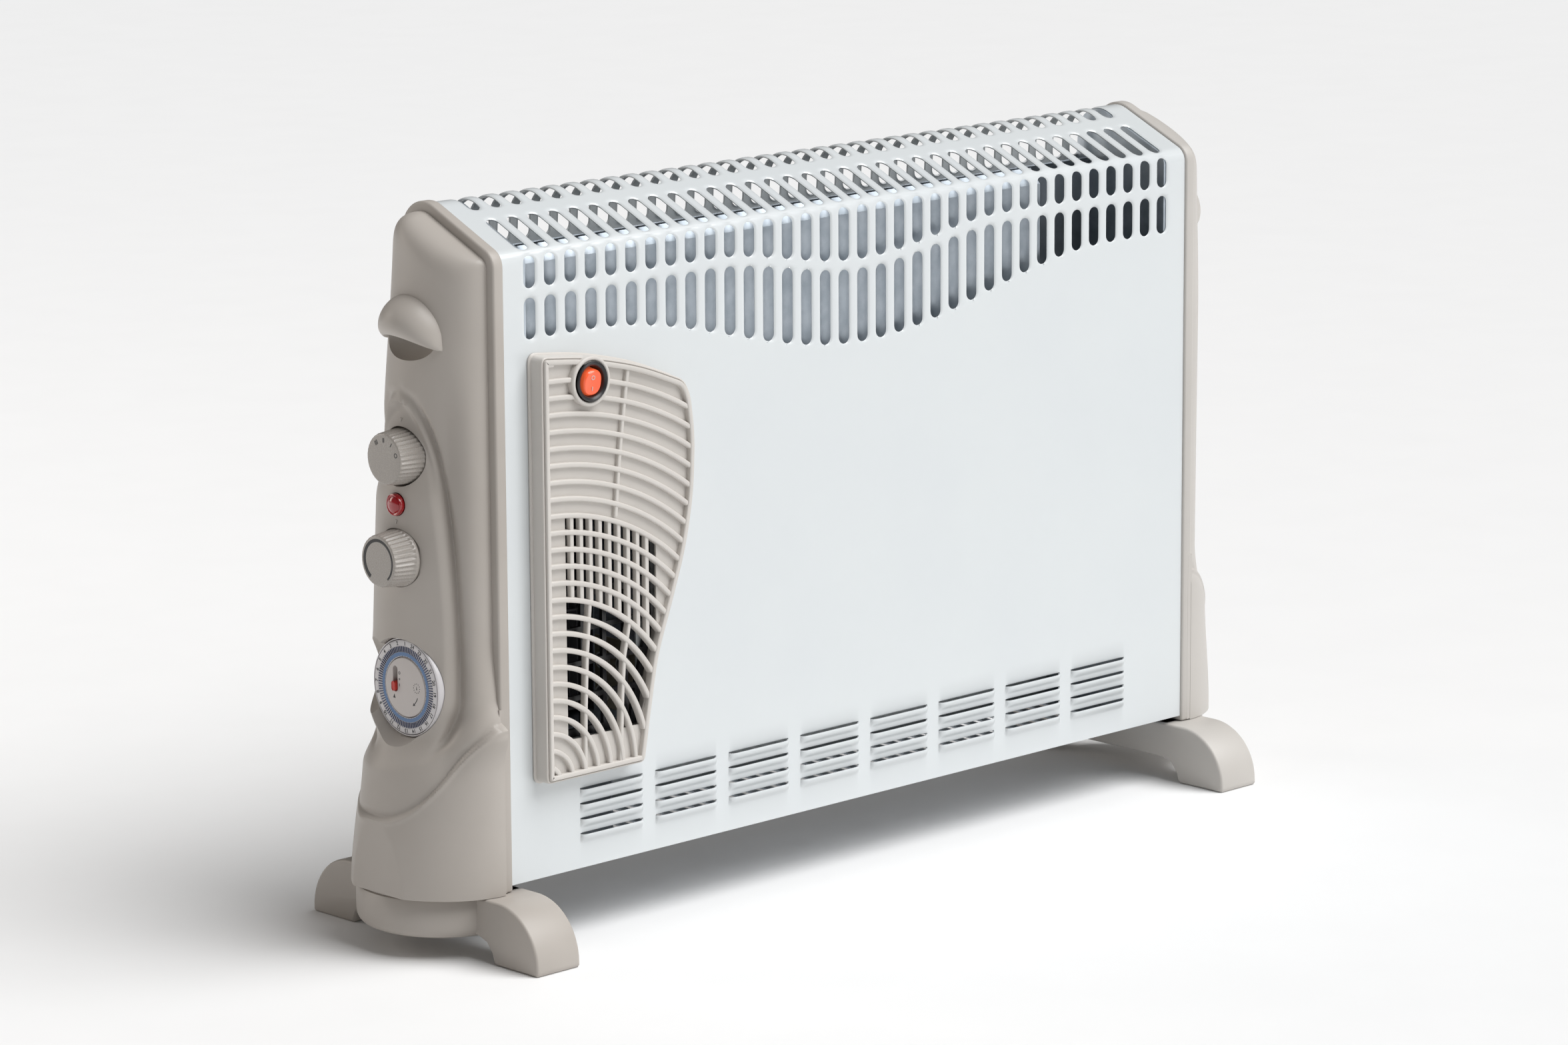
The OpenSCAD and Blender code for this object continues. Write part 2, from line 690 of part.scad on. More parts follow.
module fan_cover() {
  color([0.78, 0.75, 0.7]) difference() {
    union() {
      translate([0, cover_y + 1, 0]) along_y(cover_back_y - cover_y - 1) difference() {
        cover_2d();
        offset(delta = -2.2) cover_2d();
      }
      translate([0, cover_y, 0]) along_y(2) difference() { cover_2d(); cover_inner_2d(); }
      // closed skin outside the outlet, behind the arcs
      translate([0, cover_y + 3, 0]) along_y(1.6) difference() {
        cover_inner_2d();
        window_2d(0);
      }
      translate([0, cover_y, 0]) along_y(4.4) intersection() { cover_inner_2d(); cover_arcs_2d(); }
      translate([0, cover_y + 0.3, 0]) along_y(4.2) intersection() {
        cover_inner_2d();
        union() {
          for (x = [-226, -203]) translate([x - 1.2, window[1] - 2]) square([2.4, window[3] - window[1] + 4]);
          polygon([[-206, 340], [-203, 340], [-213, 252], [-216, 252]]);
        }
      }
      rod_y(14.5, cover_y - 0.4, cover_y + 4, rocker_pos.x, rocker_pos.y);
      for (p = cover_screw_points()) rod_y(3.6, cover_y + 1, cover_back_y, p.x, p.y);
    }
    rod_y(rocker_d / 2 - 1.4, cover_y - 2, cover_back_y + 1, rocker_pos.x, rocker_pos.y);
    for (p = cover_screw_points()) rod_y(1.3, cover_y + 4, cover_back_y + 1, p.x, p.y);
  }
}

module cover_screws() {
  color(steel) for (p = cover_screw_points()) {
    rod_y(1.2, cover_back_y - 5, front_y + sheet_t, p.x, p.y);
    rod_y(3, front_y + sheet_t, front_y + sheet_t + 2, p.x, p.y);
  }
}

module fan_guard() {
  color(black) translate([0, front_y - 4, 0]) along_y(2.4) difference() {
    window_2d(2);
    intersection() {
      window_2d(-2.5);
      union() {
        for (k = [0 : 8]) translate([window[0] + 3 + k * 7.35, window[1] + 84]) square([4.8, 60]);
        for (k = [0 : 3], j = [0 : 3]) translate([window[0] + 3 + k * 16.6, window[1] + 2 + j * 20])
          square([13.6, 17]);
      }
    }
  }
}

module rocker_bezel() {
  color(black) difference() {
    union() {
      rod_y(rocker_d / 2, cover_y - 2, cover_y - 0.45, rocker_pos.x, rocker_pos.y);
      rod_y(rocker_d / 2 - 1.5, cover_y - 0.5, cover_y + 9, rocker_pos.x, rocker_pos.y);
    }
    rod_y(8.6, cover_y - 3, cover_y + 10, rocker_pos.x, rocker_pos.y);
    translate([rocker_pos.x, rocker_axis_y, rocker_pos.y]) rod_x(pin_r + run_gap, -9.6, 9.6);
  }
}

module rocker_button() {
  color([0.85, 0.25, 0.12]) translate([rocker_pos.x, rocker_axis_y, rocker_pos.y]) rotate([rocker_tilt, 0, 0]) {
    intersection() {
      translate([-4.8, -6.6, -7.2]) cube([9.6, 10, 14.4]);
      rod_x(8, -6, 6);
      rod_y(8, -10, 6);
    }
    rod_x(pin_r, -9.4, 9.4);
  }
}

module rocker_switch_body() {
  color(black) {
    difference() {
      rod_y(9.6, cover_y + 9.1, front_y + 8, rocker_pos.x, rocker_pos.y);
      rod_y(8, cover_y + 9, cover_y + 11, rocker_pos.x, rocker_pos.y);
    }
    for (s = [-4, 4]) box([rocker_pos.x + s - 0.4, front_y + 7.9, rocker_pos.y - 3],
                          [rocker_pos.x + s + 0.4, front_y + 15, rocker_pos.y + 3]);
  }
}

// ---------- fan ----------

module fan_housing() {
  r = impeller_d / 2 + 3;
  color(steel) {
    translate([fan_x, fan_y, fan_low - 6]) linear_extrude(impeller_len + 12) difference() {
      circle(r + 1);
      circle(r);
      translate([-r - 2, -r - 2]) square([2 * r + 4, 14]);
      rotate([0, 0, 100]) translate([0, -14]) square([r + 4, 28]);
    }
    for (z = [fan_low - 7, fan_high + 6]) difference() {
      box([fan_x - 31, front_y + 2, z], [fan_x + 31, fan_y + r + 1.5, z + 1]);
      translate([fan_x, fan_y, z - 1]) cylinder(r = 6.1, h = 3);
    }
  }
}

module fan_impeller() {
  r = impeller_d / 2;
  color(pale) translate([fan_x, fan_y, 0]) {
    for (z = [fan_low, fan_z - 0.6, fan_high - 1.2]) translate([0, 0, z]) difference() {
      cylinder(r = r, h = 1.2);
      translate([0, 0, -1]) cylinder(r = z == fan_z - 0.6 ? r - 6 : 2.5, h = 4);
    }
    for (k = [0 : blade_n - 1]) rotate([0, 0, 360 * k / blade_n])
      translate([r - 5.2, 0, fan_low + 0.6]) rotate([0, 0, 32]) translate([-0.6, -0.4, 0])
        cube([5.6, 0.8, impeller_len - 1.2]);
  }
}

shaft_low = 76;
module fan_shaft() {
  color(steel) translate([fan_x, fan_y, shaft_low]) cylinder(r = 2.5, h = fan_high + 14 - shaft_low);
}

module fan_bearings() {
  color([0.7, 0.55, 0.25]) for (z = [fan_low - 11, fan_high + 5]) translate([fan_x, fan_y, z]) difference() {
    cylinder(r = 6, h = 6);
    translate([0, 0, -1]) cylinder(r = 2.5 + run_gap, h = 8);
  }
}

module motor_rotor() {
  color(steel) translate([fan_x, fan_y, 84]) difference() {
    cylinder(r = 11.4, h = 16);
    translate([0, 0, -1]) cylinder(r = 2.5, h = 18);
  }
}

module motor_core() {
  color(steel) difference() {
    box([fan_x - 26, fan_y - 21, 84], [fan_x + 26, fan_y + 30, 100]);
    translate([fan_x, fan_y, 80]) cylinder(r = 12, h = 30);
    box([fan_x - 15, fan_y + 15, 80], [fan_x + 15, fan_y + 22, 110]);
  }
}

module motor_coil() {
  color(copper) difference() {
    box([fan_x - 14, fan_y + 16, 78], [fan_x + 14, fan_y + 36, 106]);
    box([fan_x - 16, fan_y + 21.8, 83.8], [fan_x + 16, fan_y + 30.2, 100.2]);
  }
}

module motor_bracket() {
  color(steel) {
    difference() {
      box([fan_x - 30, fan_y - 22, 108], [fan_x + 30, fan_y + 38, 109.4]);
      translate([fan_x, fan_y, 100]) cylinder(r = 4, h = 20);
    }
    for (x = [-24, 20]) box([fan_x + x, fan_y - 20, 100.1], [fan_x + x + 4, fan_y - 14, 108.1]);
    for (x = [-30, 28.6]) box([fan_x + x, fan_y - 22, casing_z + 1.3], [fan_x + x + 1.4, fan_y + 30, 108.1]);
  }
}

// ---------- heating ----------

module element_cards() {
  color(mica) for (x = [0 : 3]) translate([element_x[0] + x * (element_x[1] - element_x[0] - 1) / 3, 0, 0]) difference() {
    box([0, -34, element_z - 20], [1, 26, element_z + 26]);
    for (p = coil_points()) rod_x(5.2, -1, 3, p.x, p.y);
  }
}

function coil_points() = [for (y = [-22, -4, 14]) for (z = [element_z - 8, element_z + 12]) [y, z]];

module coil_beads() {
  color(pale) for (x = [0 : 3]) translate([element_x[0] + x * (element_x[1] - element_x[0] - 1) / 3 - 3, 0, 0])
    for (p = coil_points()) difference() {
      rod_x(5.1, 0, 7, p.x, p.y);
      rod_x(4.05, -1, 9, p.x, p.y);
    }
}

module heating_coils() {
  color(copper) for (p = coil_points()) difference() {
    rod_x(4, element_x[0] - 3, element_x[1] + 3, p.x, p.y);
    rod_x(2.6, element_x[0] - 4, element_x[1] + 4, p.x, p.y);
  }
}

module element_clips() {
  color(steel) for (x = [0 : 3]) translate([element_x[0] + x * (element_x[1] - element_x[0] - 1) / 3, 0, 0]) {
    box([-2, front_y + 12, element_z - 24], [3, back_y(element_z) - 10.5, element_z - 20.2]);
  }
}

module thermal_cutout() {
  color(black) {
    rod_y(8, front_y + 11.1, front_y + 19, element_x[1] - 40, element_z + 48);
    for (x = [-3, 3]) rod_y(0.8, front_y + 18.9, front_y + 25, element_x[1] - 40 + x, element_z + 48);
  }
}

module terminal_block() {
  color(black) difference() {
    box([-bulkhead_x + 0.1, -10, 195], [-bulkhead_x + 16, 24, 209]);
    for (y = [-4, 7, 18]) translate([-bulkhead_x + 8, y, 203]) cylinder(r = 2.4, h = 10);
  }
}

module cord_inlet() {
  color(black) translate([inlet_pos.x, 34, inlet_pos.y]) rotate([-90, 0, 0]) difference() {
    union() {
      cylinder(r = 8, h = 1.8);
      translate([0, 0, 1.7]) cylinder(r = 6, h = inlet_len - 1.8);
    }
    translate([0, 0, -1]) cylinder(r = inlet_r, h = 30);
  }
}

casing_wrap();
bottom_plate();
left_bulkhead();
right_bulkhead();
front_heat_shield();
rear_heat_shield();
left_end_cap();
right_end_cap();
left_foot();
right_foot();
foot_screws();
cap_screws();
control_bracket();
bracket_screws();
selector_knob();
selector_shaft();
selector_switch();
thermostat_knob();
thermostat_shaft();
thermostat_body();
indicator_lens();
neon_lamp();
timer_housing();
timer_dial();
timer_segments();
timer_face();
timer_slider();
fan_cover();
fan_guard();
cover_screws();
rocker_bezel();
rocker_button();
rocker_switch_body();
fan_housing();
fan_impeller();
fan_shaft();
fan_bearings();
motor_rotor();
motor_core();
motor_coil();
motor_bracket();
element_cards();
heating_coils();
coil_beads();
element_clips();
thermal_cutout();
terminal_block();
cord_inlet();
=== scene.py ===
import json
import math
from itertools import groupby

import bmesh
import bpy
from mathutils import Matrix, Vector


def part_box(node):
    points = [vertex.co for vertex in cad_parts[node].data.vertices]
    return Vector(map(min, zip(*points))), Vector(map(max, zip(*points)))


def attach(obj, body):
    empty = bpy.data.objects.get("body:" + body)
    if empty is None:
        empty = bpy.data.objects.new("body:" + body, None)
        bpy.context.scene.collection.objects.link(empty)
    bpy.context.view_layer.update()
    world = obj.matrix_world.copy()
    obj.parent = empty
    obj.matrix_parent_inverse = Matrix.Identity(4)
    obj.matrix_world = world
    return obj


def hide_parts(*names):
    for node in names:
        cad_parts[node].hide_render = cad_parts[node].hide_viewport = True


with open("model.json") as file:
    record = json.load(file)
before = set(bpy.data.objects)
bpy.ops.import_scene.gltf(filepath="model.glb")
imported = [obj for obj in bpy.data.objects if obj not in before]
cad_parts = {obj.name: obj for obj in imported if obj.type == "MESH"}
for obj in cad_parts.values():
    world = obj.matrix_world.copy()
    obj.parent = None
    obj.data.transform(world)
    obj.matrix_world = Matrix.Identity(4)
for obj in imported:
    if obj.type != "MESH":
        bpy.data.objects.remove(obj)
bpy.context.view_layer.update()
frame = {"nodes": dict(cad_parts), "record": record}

MM = 0.001

# ---------- camera, light and floor ----------

CAMERA_AT = (-2.3306, -2.4001, 0.9103)
CAMERA_TURN = -43.973
CAMERA_DOWN = 11.949
CAMERA_ROLL = -0.318
CAMERA_LENS = 129.51


def linked(name, data):
    """A new object with some data, in the scene."""
    obj = bpy.data.objects.new(name, data)
    bpy.context.scene.collection.objects.link(obj)
    return obj


def add_camera():
    data = bpy.data.cameras.new("camera")
    data.lens = CAMERA_LENS
    data.sensor_width = 36
    data.clip_end = 50
    camera = linked("camera", data)
    camera.matrix_world = (
        Matrix.Translation(CAMERA_AT)
        @ Matrix.Rotation(math.radians(CAMERA_TURN), 4, "Z")
        @ Matrix.Rotation(math.radians(90 - CAMERA_DOWN), 4, "X")
        @ Matrix.Rotation(math.radians(CAMERA_ROLL), 4, "Z")
    )
    bpy.context.scene.camera = camera


def add_light(name, place, size, power, tint=(1, 1, 1)):
    """A soft box at a place, facing the middle of the heater."""
    data = bpy.data.lights.new(name, "AREA")
    data.shape = "RECTANGLE"
    data.size, data.size_y = size
    data.energy = power
    data.color = tint
    light = linked(name, data)
    light.location = place
    aim = Vector((0, 0, 0.22)) - Vector(place)
    light.rotation_euler = aim.to_track_quat("-Z", "Y").to_euler()


def add_studio():
    world = bpy.data.worlds.new("studio")
    bpy.context.scene.world = world
    world.use_nodes = True
    background = world.node_tree.nodes["Background"]
    background.inputs["Color"].default_value = (1, 1, 1, 1)
    background.inputs["Strength"].default_value = 0.16
    data = bpy.data.lights.new("ceiling", "SUN")
    data.energy = 3.3
    data.angle = math.radians(50)
    ceiling = linked("ceiling", data)
    ceiling.rotation_euler = Vector((-0.29, 0.48, -0.83)).to_track_quat("-Z", "Y").to_euler()
    add_light("front_box", (1.1, -2.4, 0.9), (0.9, 1.6), 9)
    add_light("rear_box", (-1.6, 2.2, 1.0), (0.8, 1.6), 12.5, (1.0, 0.91, 0.82))


def add_floor():
    mesh = bpy.data.meshes.new("floor")
    half = 12
    corners = [(-half, -half, 0), (half, -half, 0), (half, half, 0), (-half, half, 0)]
    mesh.from_pydata(corners, [], [(0, 1, 2, 3)])
    floor = linked("floor", mesh)
    paper = surface("floor_paper", (0.86, 0.86, 0.86), (0.85, 0.85, 0.85), 0.9, grain=60)
    floor.data.materials.append(paper)


# ---------- materials ----------

COAT_ROUGHNESS = 0.08
DRIFT_ENDS = (0.35, 0.7)
BUMP_DEPTH = 0.0002


def surface(name, colour, second, roughness, spread=0.06, grain=900, bump=0.02,
            metallic=0.0, specular=0.5, coat=0.0, patch=14, stretch=(1, 1, 1)):
    """A surface whose colour drifts between two tints, with grain in its roughness and bump."""
    material = bpy.data.materials.new(name)
    material.use_nodes = True
    tree = material.node_tree
    shader = tree.nodes["Principled BSDF"].inputs
    shader["Metallic"].default_value = metallic
    shader["Specular IOR Level"].default_value = specular
    shader["Coat Weight"].default_value = coat
    shader["Coat Roughness"].default_value = COAT_ROUGHNESS

    def add(kind, values, source=None, into="Vector"):
        """A node with some inputs set and one fed by another node's output."""
        made = tree.nodes.new("ShaderNode" + kind)
        for key, value in values.items():
            made.inputs[key].default_value = value
        if source:
            tree.links.new(source, made.inputs[into])
        return made.outputs

    place = add("TexCoord", {})["Object"]
    mapped = add("Mapping", {"Scale": stretch}, place)["Vector"]
    drift = add("TexNoise", {"Scale": patch, "Detail": 5}, mapped)["Fac"]
    fine = add("TexNoise", {"Scale": grain, "Detail": 3}, mapped)["Fac"]
    tint = add("ValToRGB", {}, drift, "Fac")["Color"]
    for end, at, shade in zip(tint.node.color_ramp.elements, DRIFT_ENDS, (colour, second)):
        end.position = at
        end.color = (*shade, 1)
    span = {"To Min": max(roughness - spread, 0.02), "To Max": roughness + spread}
    rough = add("MapRange", span, fine, "Value")["Result"]
    bumps = add("Bump", {"Strength": bump, "Distance": BUMP_DEPTH}, fine, "Height")["Normal"]
    tree.links.new(tint, shader["Base Color"])
    tree.links.new(rough, shader["Roughness"])
    tree.links.new(bumps, shader["Normal"])
    return material


# Each look: two tints, roughness, its spread, grain, bump, and what is special about it.
LOOKS = {
    "casing_enamel": ((0.66, 0.69, 0.70), (0.645, 0.675, 0.69), 0.22, 0.04, 1400, 0.03, {"coat": 0.35}),
    "galvanised_steel": ((0.50, 0.55, 0.60), (0.38, 0.43, 0.48), 0.38, 0.12, 420, 0.05,
                         {"metallic": 0.75, "patch": 90}),
    # The cap plastic is one plastic in two copies. This first copy is darker than the plastic itself, which
    # paints shade onto the shaded left end. The next copy is lighter, which paints light onto the lit right
    # end.
    "cap_plastic": ((0.44, 0.405, 0.37), (0.41, 0.375, 0.34), 0.42, 0.06, 1800, 0.12,
                    {"specular": 0.45}),
    "cap_plastic_painted_light": ((0.52, 0.495, 0.465), (0.495, 0.47, 0.44), 0.42, 0.06, 1800, 0.12, {"specular": 0.45}),
    "knob_plastic": ((0.37, 0.34, 0.31), (0.345, 0.315, 0.285), 0.27, 0.05, 1800, 0.08, {"coat": 0.25}),
    "zinc_steel": ((0.55, 0.55, 0.53), (0.42, 0.42, 0.40), 0.35, 0.1, 700, 0.05,
                   {"metallic": 0.9, "patch": 120}),
    "black_plastic": ((0.012, 0.012, 0.013), (0.018, 0.018, 0.02), 0.35, 0.08, 1500, 0.08, {}),
    "red_lens": ((0.42, 0.008, 0.012), (0.30, 0.004, 0.008), 0.08, 0.03, 400, 0.02, {"coat": 0.6}),
    "neon_glass": ((0.6, 0.25, 0.12), (0.5, 0.2, 0.1), 0.1, 0.03, 400, 0.02, {}),
    "dial_white": ((0.56, 0.52, 0.50), (0.53, 0.49, 0.47), 0.38, 0.05, 1800, 0.08, {}),
    "segment_blue": ((0.035, 0.045, 0.11), (0.02, 0.03, 0.08), 0.35, 0.08, 1500, 0.05, {}),
    "ring_white": ((0.62, 0.60, 0.61), (0.59, 0.57, 0.58), 0.3, 0.05, 1800, 0.06, {"coat": 0.2}),
    "band_blue": ((0.10, 0.19, 0.36), (0.08, 0.16, 0.32), 0.35, 0.08, 1500, 0.05, {}),
    "slider_red": ((0.55, 0.04, 0.03), (0.48, 0.03, 0.02), 0.3, 0.05, 1500, 0.05, {}),
    "cover_plastic": ((0.60, 0.57, 0.535), (0.57, 0.54, 0.505), 0.40, 0.06, 1600, 0.1,
                      {"specular": 0.45}),
    "rocker_red": ((0.75, 0.10, 0.035), (0.68, 0.07, 0.025), 0.22, 0.05, 900, 0.03, {"coat": 0.3}),
    "fan_plastic": ((0.05, 0.05, 0.055), (0.035, 0.035, 0.04), 0.45, 0.08, 900, 0.08, {}),
    "bearing_bronze": ((0.45, 0.28, 0.12), (0.36, 0.22, 0.09), 0.4, 0.1, 900, 0.05, {"metallic": 0.9}),
    "coil_copper": ((0.55, 0.22, 0.08), (0.40, 0.14, 0.05), 0.3, 0.1, 500, 0.15,
                    {"metallic": 0.9, "stretch": (1, 1, 6)}),
    "mica": ((0.42, 0.36, 0.25), (0.34, 0.28, 0.19), 0.5, 0.15, 500, 0.15, {"patch": 60}),
    "ceramic": ((0.75, 0.72, 0.66), (0.68, 0.65, 0.6), 0.55, 0.1, 900, 0.1, {}),
    "resistance_wire": ((0.30, 0.27, 0.25), (0.20, 0.17, 0.16), 0.4, 0.1, 700, 0.05,
                        {"metallic": 0.8, "patch": 60}),
}
MATERIALS = {name: surface(name, *look[:-1], **look[-1]) for name, look in LOOKS.items()}
GLOW = MATERIALS["rocker_red"].node_tree.nodes["Principled BSDF"].inputs
GLOW["Emission Color"].default_value = (1.0, 0.16, 0.05, 1)
GLOW["Emission Strength"].default_value = 0.35


def dress_nodes():
    """Every CAD node takes the material of its slot."""
    for part in frame["record"]["subparts"]:
        node = frame["nodes"][part["node"]]
        node.data.materials.clear()
        node.data.materials.append(MATERIALS[part["material_slot"]])


# ---------- mesh helpers, in millimetres ----------


def smooth(t):
    """0 below 0, 1 above 1, with soft ends between."""
    u = min(max(t, 0), 1)
    return u * u * (3 - 2 * u)


def bell(t):
    return math.exp(-t * t)


def arc(centre, radius, start, end, steps):
    """Points on an arc in a plane, from one angle in degrees to another."""
    turns = [math.radians(start + (end - start) * k / steps) for k in range(steps + 1)]
    return [(centre[0] + radius * math.cos(a), centre[1] + radius * math.sin(a)) for a in turns]


def circle(centre, radius, steps):
    return arc(centre, radius, 0, 360, steps)[:-1]


def shifted(points, a, b=0):
    """Points moved by (a, b)."""
    return [(p + a, q + b) for p, q in points]


def inset(points, d):
    """A closed outline drawn in by d, or out if d is negative; the points run anticlockwise."""
    moved = []
    n = len(points)
    for i, p in enumerate(points):
        before = Vector(p) - Vector(points[i - 1])
        after = Vector(points[(i + 1) % n]) - Vector(p)
        a = Vector((-before.y, before.x)).normalized()
        b = Vector((-after.y, after.x)).normalized()
        side = (a + b).normalized()
        moved.append(tuple(Vector(p) + side * (d / max(side.dot(a), 0.35))))
    return moved


def rounded(points, radius, steps=5):
    """A closed outline whose corners are rounded, by one radius or by a list of them."""
    out = []
    n = len(points)
    radii = radius if isinstance(radius, list) else [radius] * n
    for i, p in enumerate(points):
        p = Vector(p)
        a = Vector(points[i - 1]) - p
        b = Vector(points[(i + 1) % n]) - p
        reach = min(radii[i], a.length * 0.45, b.length * 0.45)
        start = p + a.normalized() * reach
        end = p + b.normalized() * reach
        for k in range(steps + 1):
            t = k / steps
            out.append(tuple(start * (1 - t) ** 2 + p * (2 * t * (1 - t)) + end * t * t))
    return out


def loft(rings, wrap=True, capped=True):
    """Vertices and faces of a skin through rings of equally many points."""
    n = len(rings[0])
    last = (len(rings) - 1) * n
    faces = []
    for j in range(len(rings) - 1):
        for i in range(n if wrap else n - 1):
            k = (i + 1) % n
            faces.append((j * n + i, j * n + k, (j + 1) * n + k, (j + 1) * n + i))
    if capped:
        faces.append(tuple(reversed(range(n))))
        faces.append(tuple(last + i for i in range(n)))
    return [p for ring in rings for p in ring], faces


def sheet(rows):
    """An open skin through rows of points."""
    return loft(rows, wrap=False, capped=False)


def turned_x(profile, y, z, steps=96, wave=None):
    """A solid turned round an axis along X; profile is (x, radius), wave bends the radius by angle."""
    rings = []
    for row, (x, radius) in enumerate(profile):
        ring = []
        for k in range(steps):
            a = 2 * math.pi * k / steps
            r = radius - (wave(a, row) if wave else 0)
            ring.append((x, y + r * math.cos(a), z + r * math.sin(a)))
        rings.append(ring)
    return loft(rings)


def circles(profile, a, b, steps, place):
    """A ring of points about an axis for each (level, radius); place makes (a, b, level) a point."""
    turns = [2 * math.pi * k / steps for k in range(steps)]
    return [[place(a + r * math.cos(t), b + r * math.sin(t), level) for t in turns]
            for level, r in profile]


def ring_x(profile, y, z, steps=96):
    """A ring round an axis along X, whose closed section is (x, radius)."""
    return loft(circles(profile + profile[:1], y, z, steps, along_x), capped=False)


def ring_y(profile, x, z, steps=96):
    """A ring round an axis along Y, whose closed section is (y, radius)."""
    return loft(circles(profile + profile[:1], x, z, steps, along_y), capped=False)


def prism(outline, place, low, high, soft=0.0, steps=3):
    """Extrudes a plane outline between two levels, its edges rounded by soft.

    place makes (a, b, level) a point."""
    levels = [(low + soft * (1 - math.cos(a)), soft * (1 - math.sin(a)))
              for a in [math.pi / 2 * k / steps for k in range(steps + 1)]] if soft else [(low, 0)]
    levels += [(high + low - level, d) for level, d in reversed(levels)]
    return loft([[place(a, b, level) for a, b in inset(outline, d)] for level, d in levels])


def along_x(a, b, level):
    return (level, a, b)


def along_y(a, b, level):
    return (a, level, b)


def mirrored(part, side):
    verts, faces = part
    return [(side * x, y, z) for x, y, z in verts], faces


def settle(mesh, data, weld):
    """Welds a mesh in the making, turns its faces outwards and writes it out."""
    bmesh.ops.remove_doubles(mesh, verts=mesh.verts, dist=weld * MM)
    bmesh.ops.recalc_face_normals(mesh, faces=mesh.faces)
    mesh.to_mesh(data)
    mesh.free()


def build(name, parts):
    """One object out of several (vertices, faces), with outward normals."""
    mesh = bmesh.new()
    for verts, faces in parts:
        made = [mesh.verts.new(Vector(v) * MM) for v in verts]
        for face in faces:
            corners = [made[i] for i in face]
            if len(set(corners)) > 2:
                mesh.faces.new(corners)
    data = bpy.data.meshes.new(name)
    settle(mesh, data, 0.001)
    return linked(name, data)


def soften(obj, corner=38):
    """Smooth shading, with hard edges kept where faces meet at more than corner degrees."""
    mesh = bmesh.new()
    mesh.from_mesh(obj.data)
    for face in mesh.faces:
        face.smooth = True
    for edge in mesh.edges:
        edge.smooth = len(edge.link_faces) != 2 or edge.calc_face_angle(0) < math.radians(corner)
    mesh.to_mesh(obj.data)
    mesh.free()


def evaluated(obj):
    """A new mesh of an object as its modifiers or its curve make it."""
    bpy.context.view_layer.update()
    graph = bpy.context.evaluated_depsgraph_get()
    return bpy.data.meshes.new_from_object(obj.evaluated_get(graph))


def bake(obj):
    """Replaces an object's mesh by what its modifiers make of it."""
    made = evaluated(obj)
    obj.modifiers.clear()
    obj.data = made


def bevel(obj, width, limit):
    """Rounds the edges of an object that turn by more than limit degrees."""
    edge = obj.modifiers.new("edge", "BEVEL")
    edge.width = width * MM
    edge.segments = 4
    edge.limit_method = "ANGLE"
    edge.angle_limit = math.radians(limit)
    bake(obj)


def curve_mesh(curve):
    """The mesh of a curve; the curve's own object is removed."""
    flat = linked(curve.name, curve)
    data = evaluated(flat)
    bpy.data.objects.remove(flat)
    return data


def carve(obj, parts):
    """Cuts solids out of an object."""
    for i, part in enumerate(parts):
        cutter = build(f"cutter_{i}", [part])
        cut = obj.modifiers.new("cut", "BOOLEAN")
        cut.operation = "DIFFERENCE"
        cut.solver = "EXACT"
        cut.object = cutter
        bake(obj)
        bpy.data.objects.remove(cutter)


def ellipsoid(centre, radii, steps=48):
    rings = []
    for j in range(1, steps // 2):
        p = math.pi * j / (steps // 2)
        rings.append([(centre[0] + radii[0] * math.sin(p) * math.cos(2 * math.pi * k / steps),
                       centre[1] + radii[1] * math.sin(p) * math.sin(2 * math.pi * k / steps),
                       centre[2] + radii[2] * math.cos(p)) for k in range(steps)])
    return loft(rings)


def piece(obj, slot, body="housing", nodes=(), corner=38, look=None):
    """Gives a piece smooth shading, the material of its look or else of its slot, and its body, and hides
    the CAD nodes that it stands for.
    """
    soften(obj, corner)
    obj.data.materials.clear()
    obj.data.materials.append(MATERIALS[look or slot])
    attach(obj, body)
    if nodes:
        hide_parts(*nodes)
    return obj


# ---------- driving sizes, in millimetres, as in the CAD ----------

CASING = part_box("casing_wrap")
HALF_W = round(CASING[1][0] / MM, 2)
CASING_Z = round(CASING[0][2] / MM, 2)
FRONT_Y = -53.4
FRONT_BEND = (-43.4, 398.2)
FRONT_R = 10
REAR_R = 18
REAR_BEND_Y = 4.5
TOP_SLOPE = math.radians(24.5)
BACK_LEAN = math.radians(4)
SLOPE_START = (FRONT_BEND[0] - FRONT_R * math.sin(TOP_SLOPE), FRONT_BEND[1] + FRONT_R * math.cos(TOP_SLOPE))
SLOPE_END_Y = REAR_BEND_Y - REAR_R * math.sin(TOP_SLOPE)
SLOPE_END_Z = SLOPE_START[1] + (SLOPE_END_Y - SLOPE_START[0]) * math.tan(TOP_SLOPE)
REAR_BEND = (REAR_BEND_Y, SLOPE_END_Z - REAR_R * math.cos(TOP_SLOPE))
SHEET_T = 1.0

SLOT_N = 35
SLOT_PITCH = 15.5
SLOT_W = 8.6
LOUVRE_N = 8
LOUVRE_PITCH = 59
LOUVRE_LEN = 49
LOUVRE_OUT = 2.6


def back_y(z, d=0.0):
    """Y of the back panel at a height, for a section drawn in by d."""
    return REAR_BEND[0] + (REAR_R - d) / math.cos(BACK_LEAN) + (REAR_BEND[1] - z) * math.tan(BACK_LEAN)


def casing_section(d, low):
    """The casing's outline as (y, z), drawn in by d, from the front over the top to the back."""
    slope = math.degrees(TOP_SLOPE)
    return ([(FRONT_Y + d, low)] + arc(FRONT_BEND, FRONT_R - d, 180, 90 + slope, 10)
            + arc(REAR_BEND, REAR_R - d, 90 + slope, math.degrees(BACK_LEAN), 20) + [(back_y(low, d), low)])


# ---------- casing ----------

FLAT_Z = FRONT_BEND[1] - CASING_Z
BEND_LEN = FRONT_R * (math.pi / 2 - TOP_SLOPE)
SLOPE_LEN = (SLOPE_END_Y - SLOPE_START[0]) / math.cos(TOP_SLOPE)
CREST_TURN = math.pi / 2 + TOP_SLOPE - BACK_LEAN
CREST_LEN = REAR_R * CREST_TURN


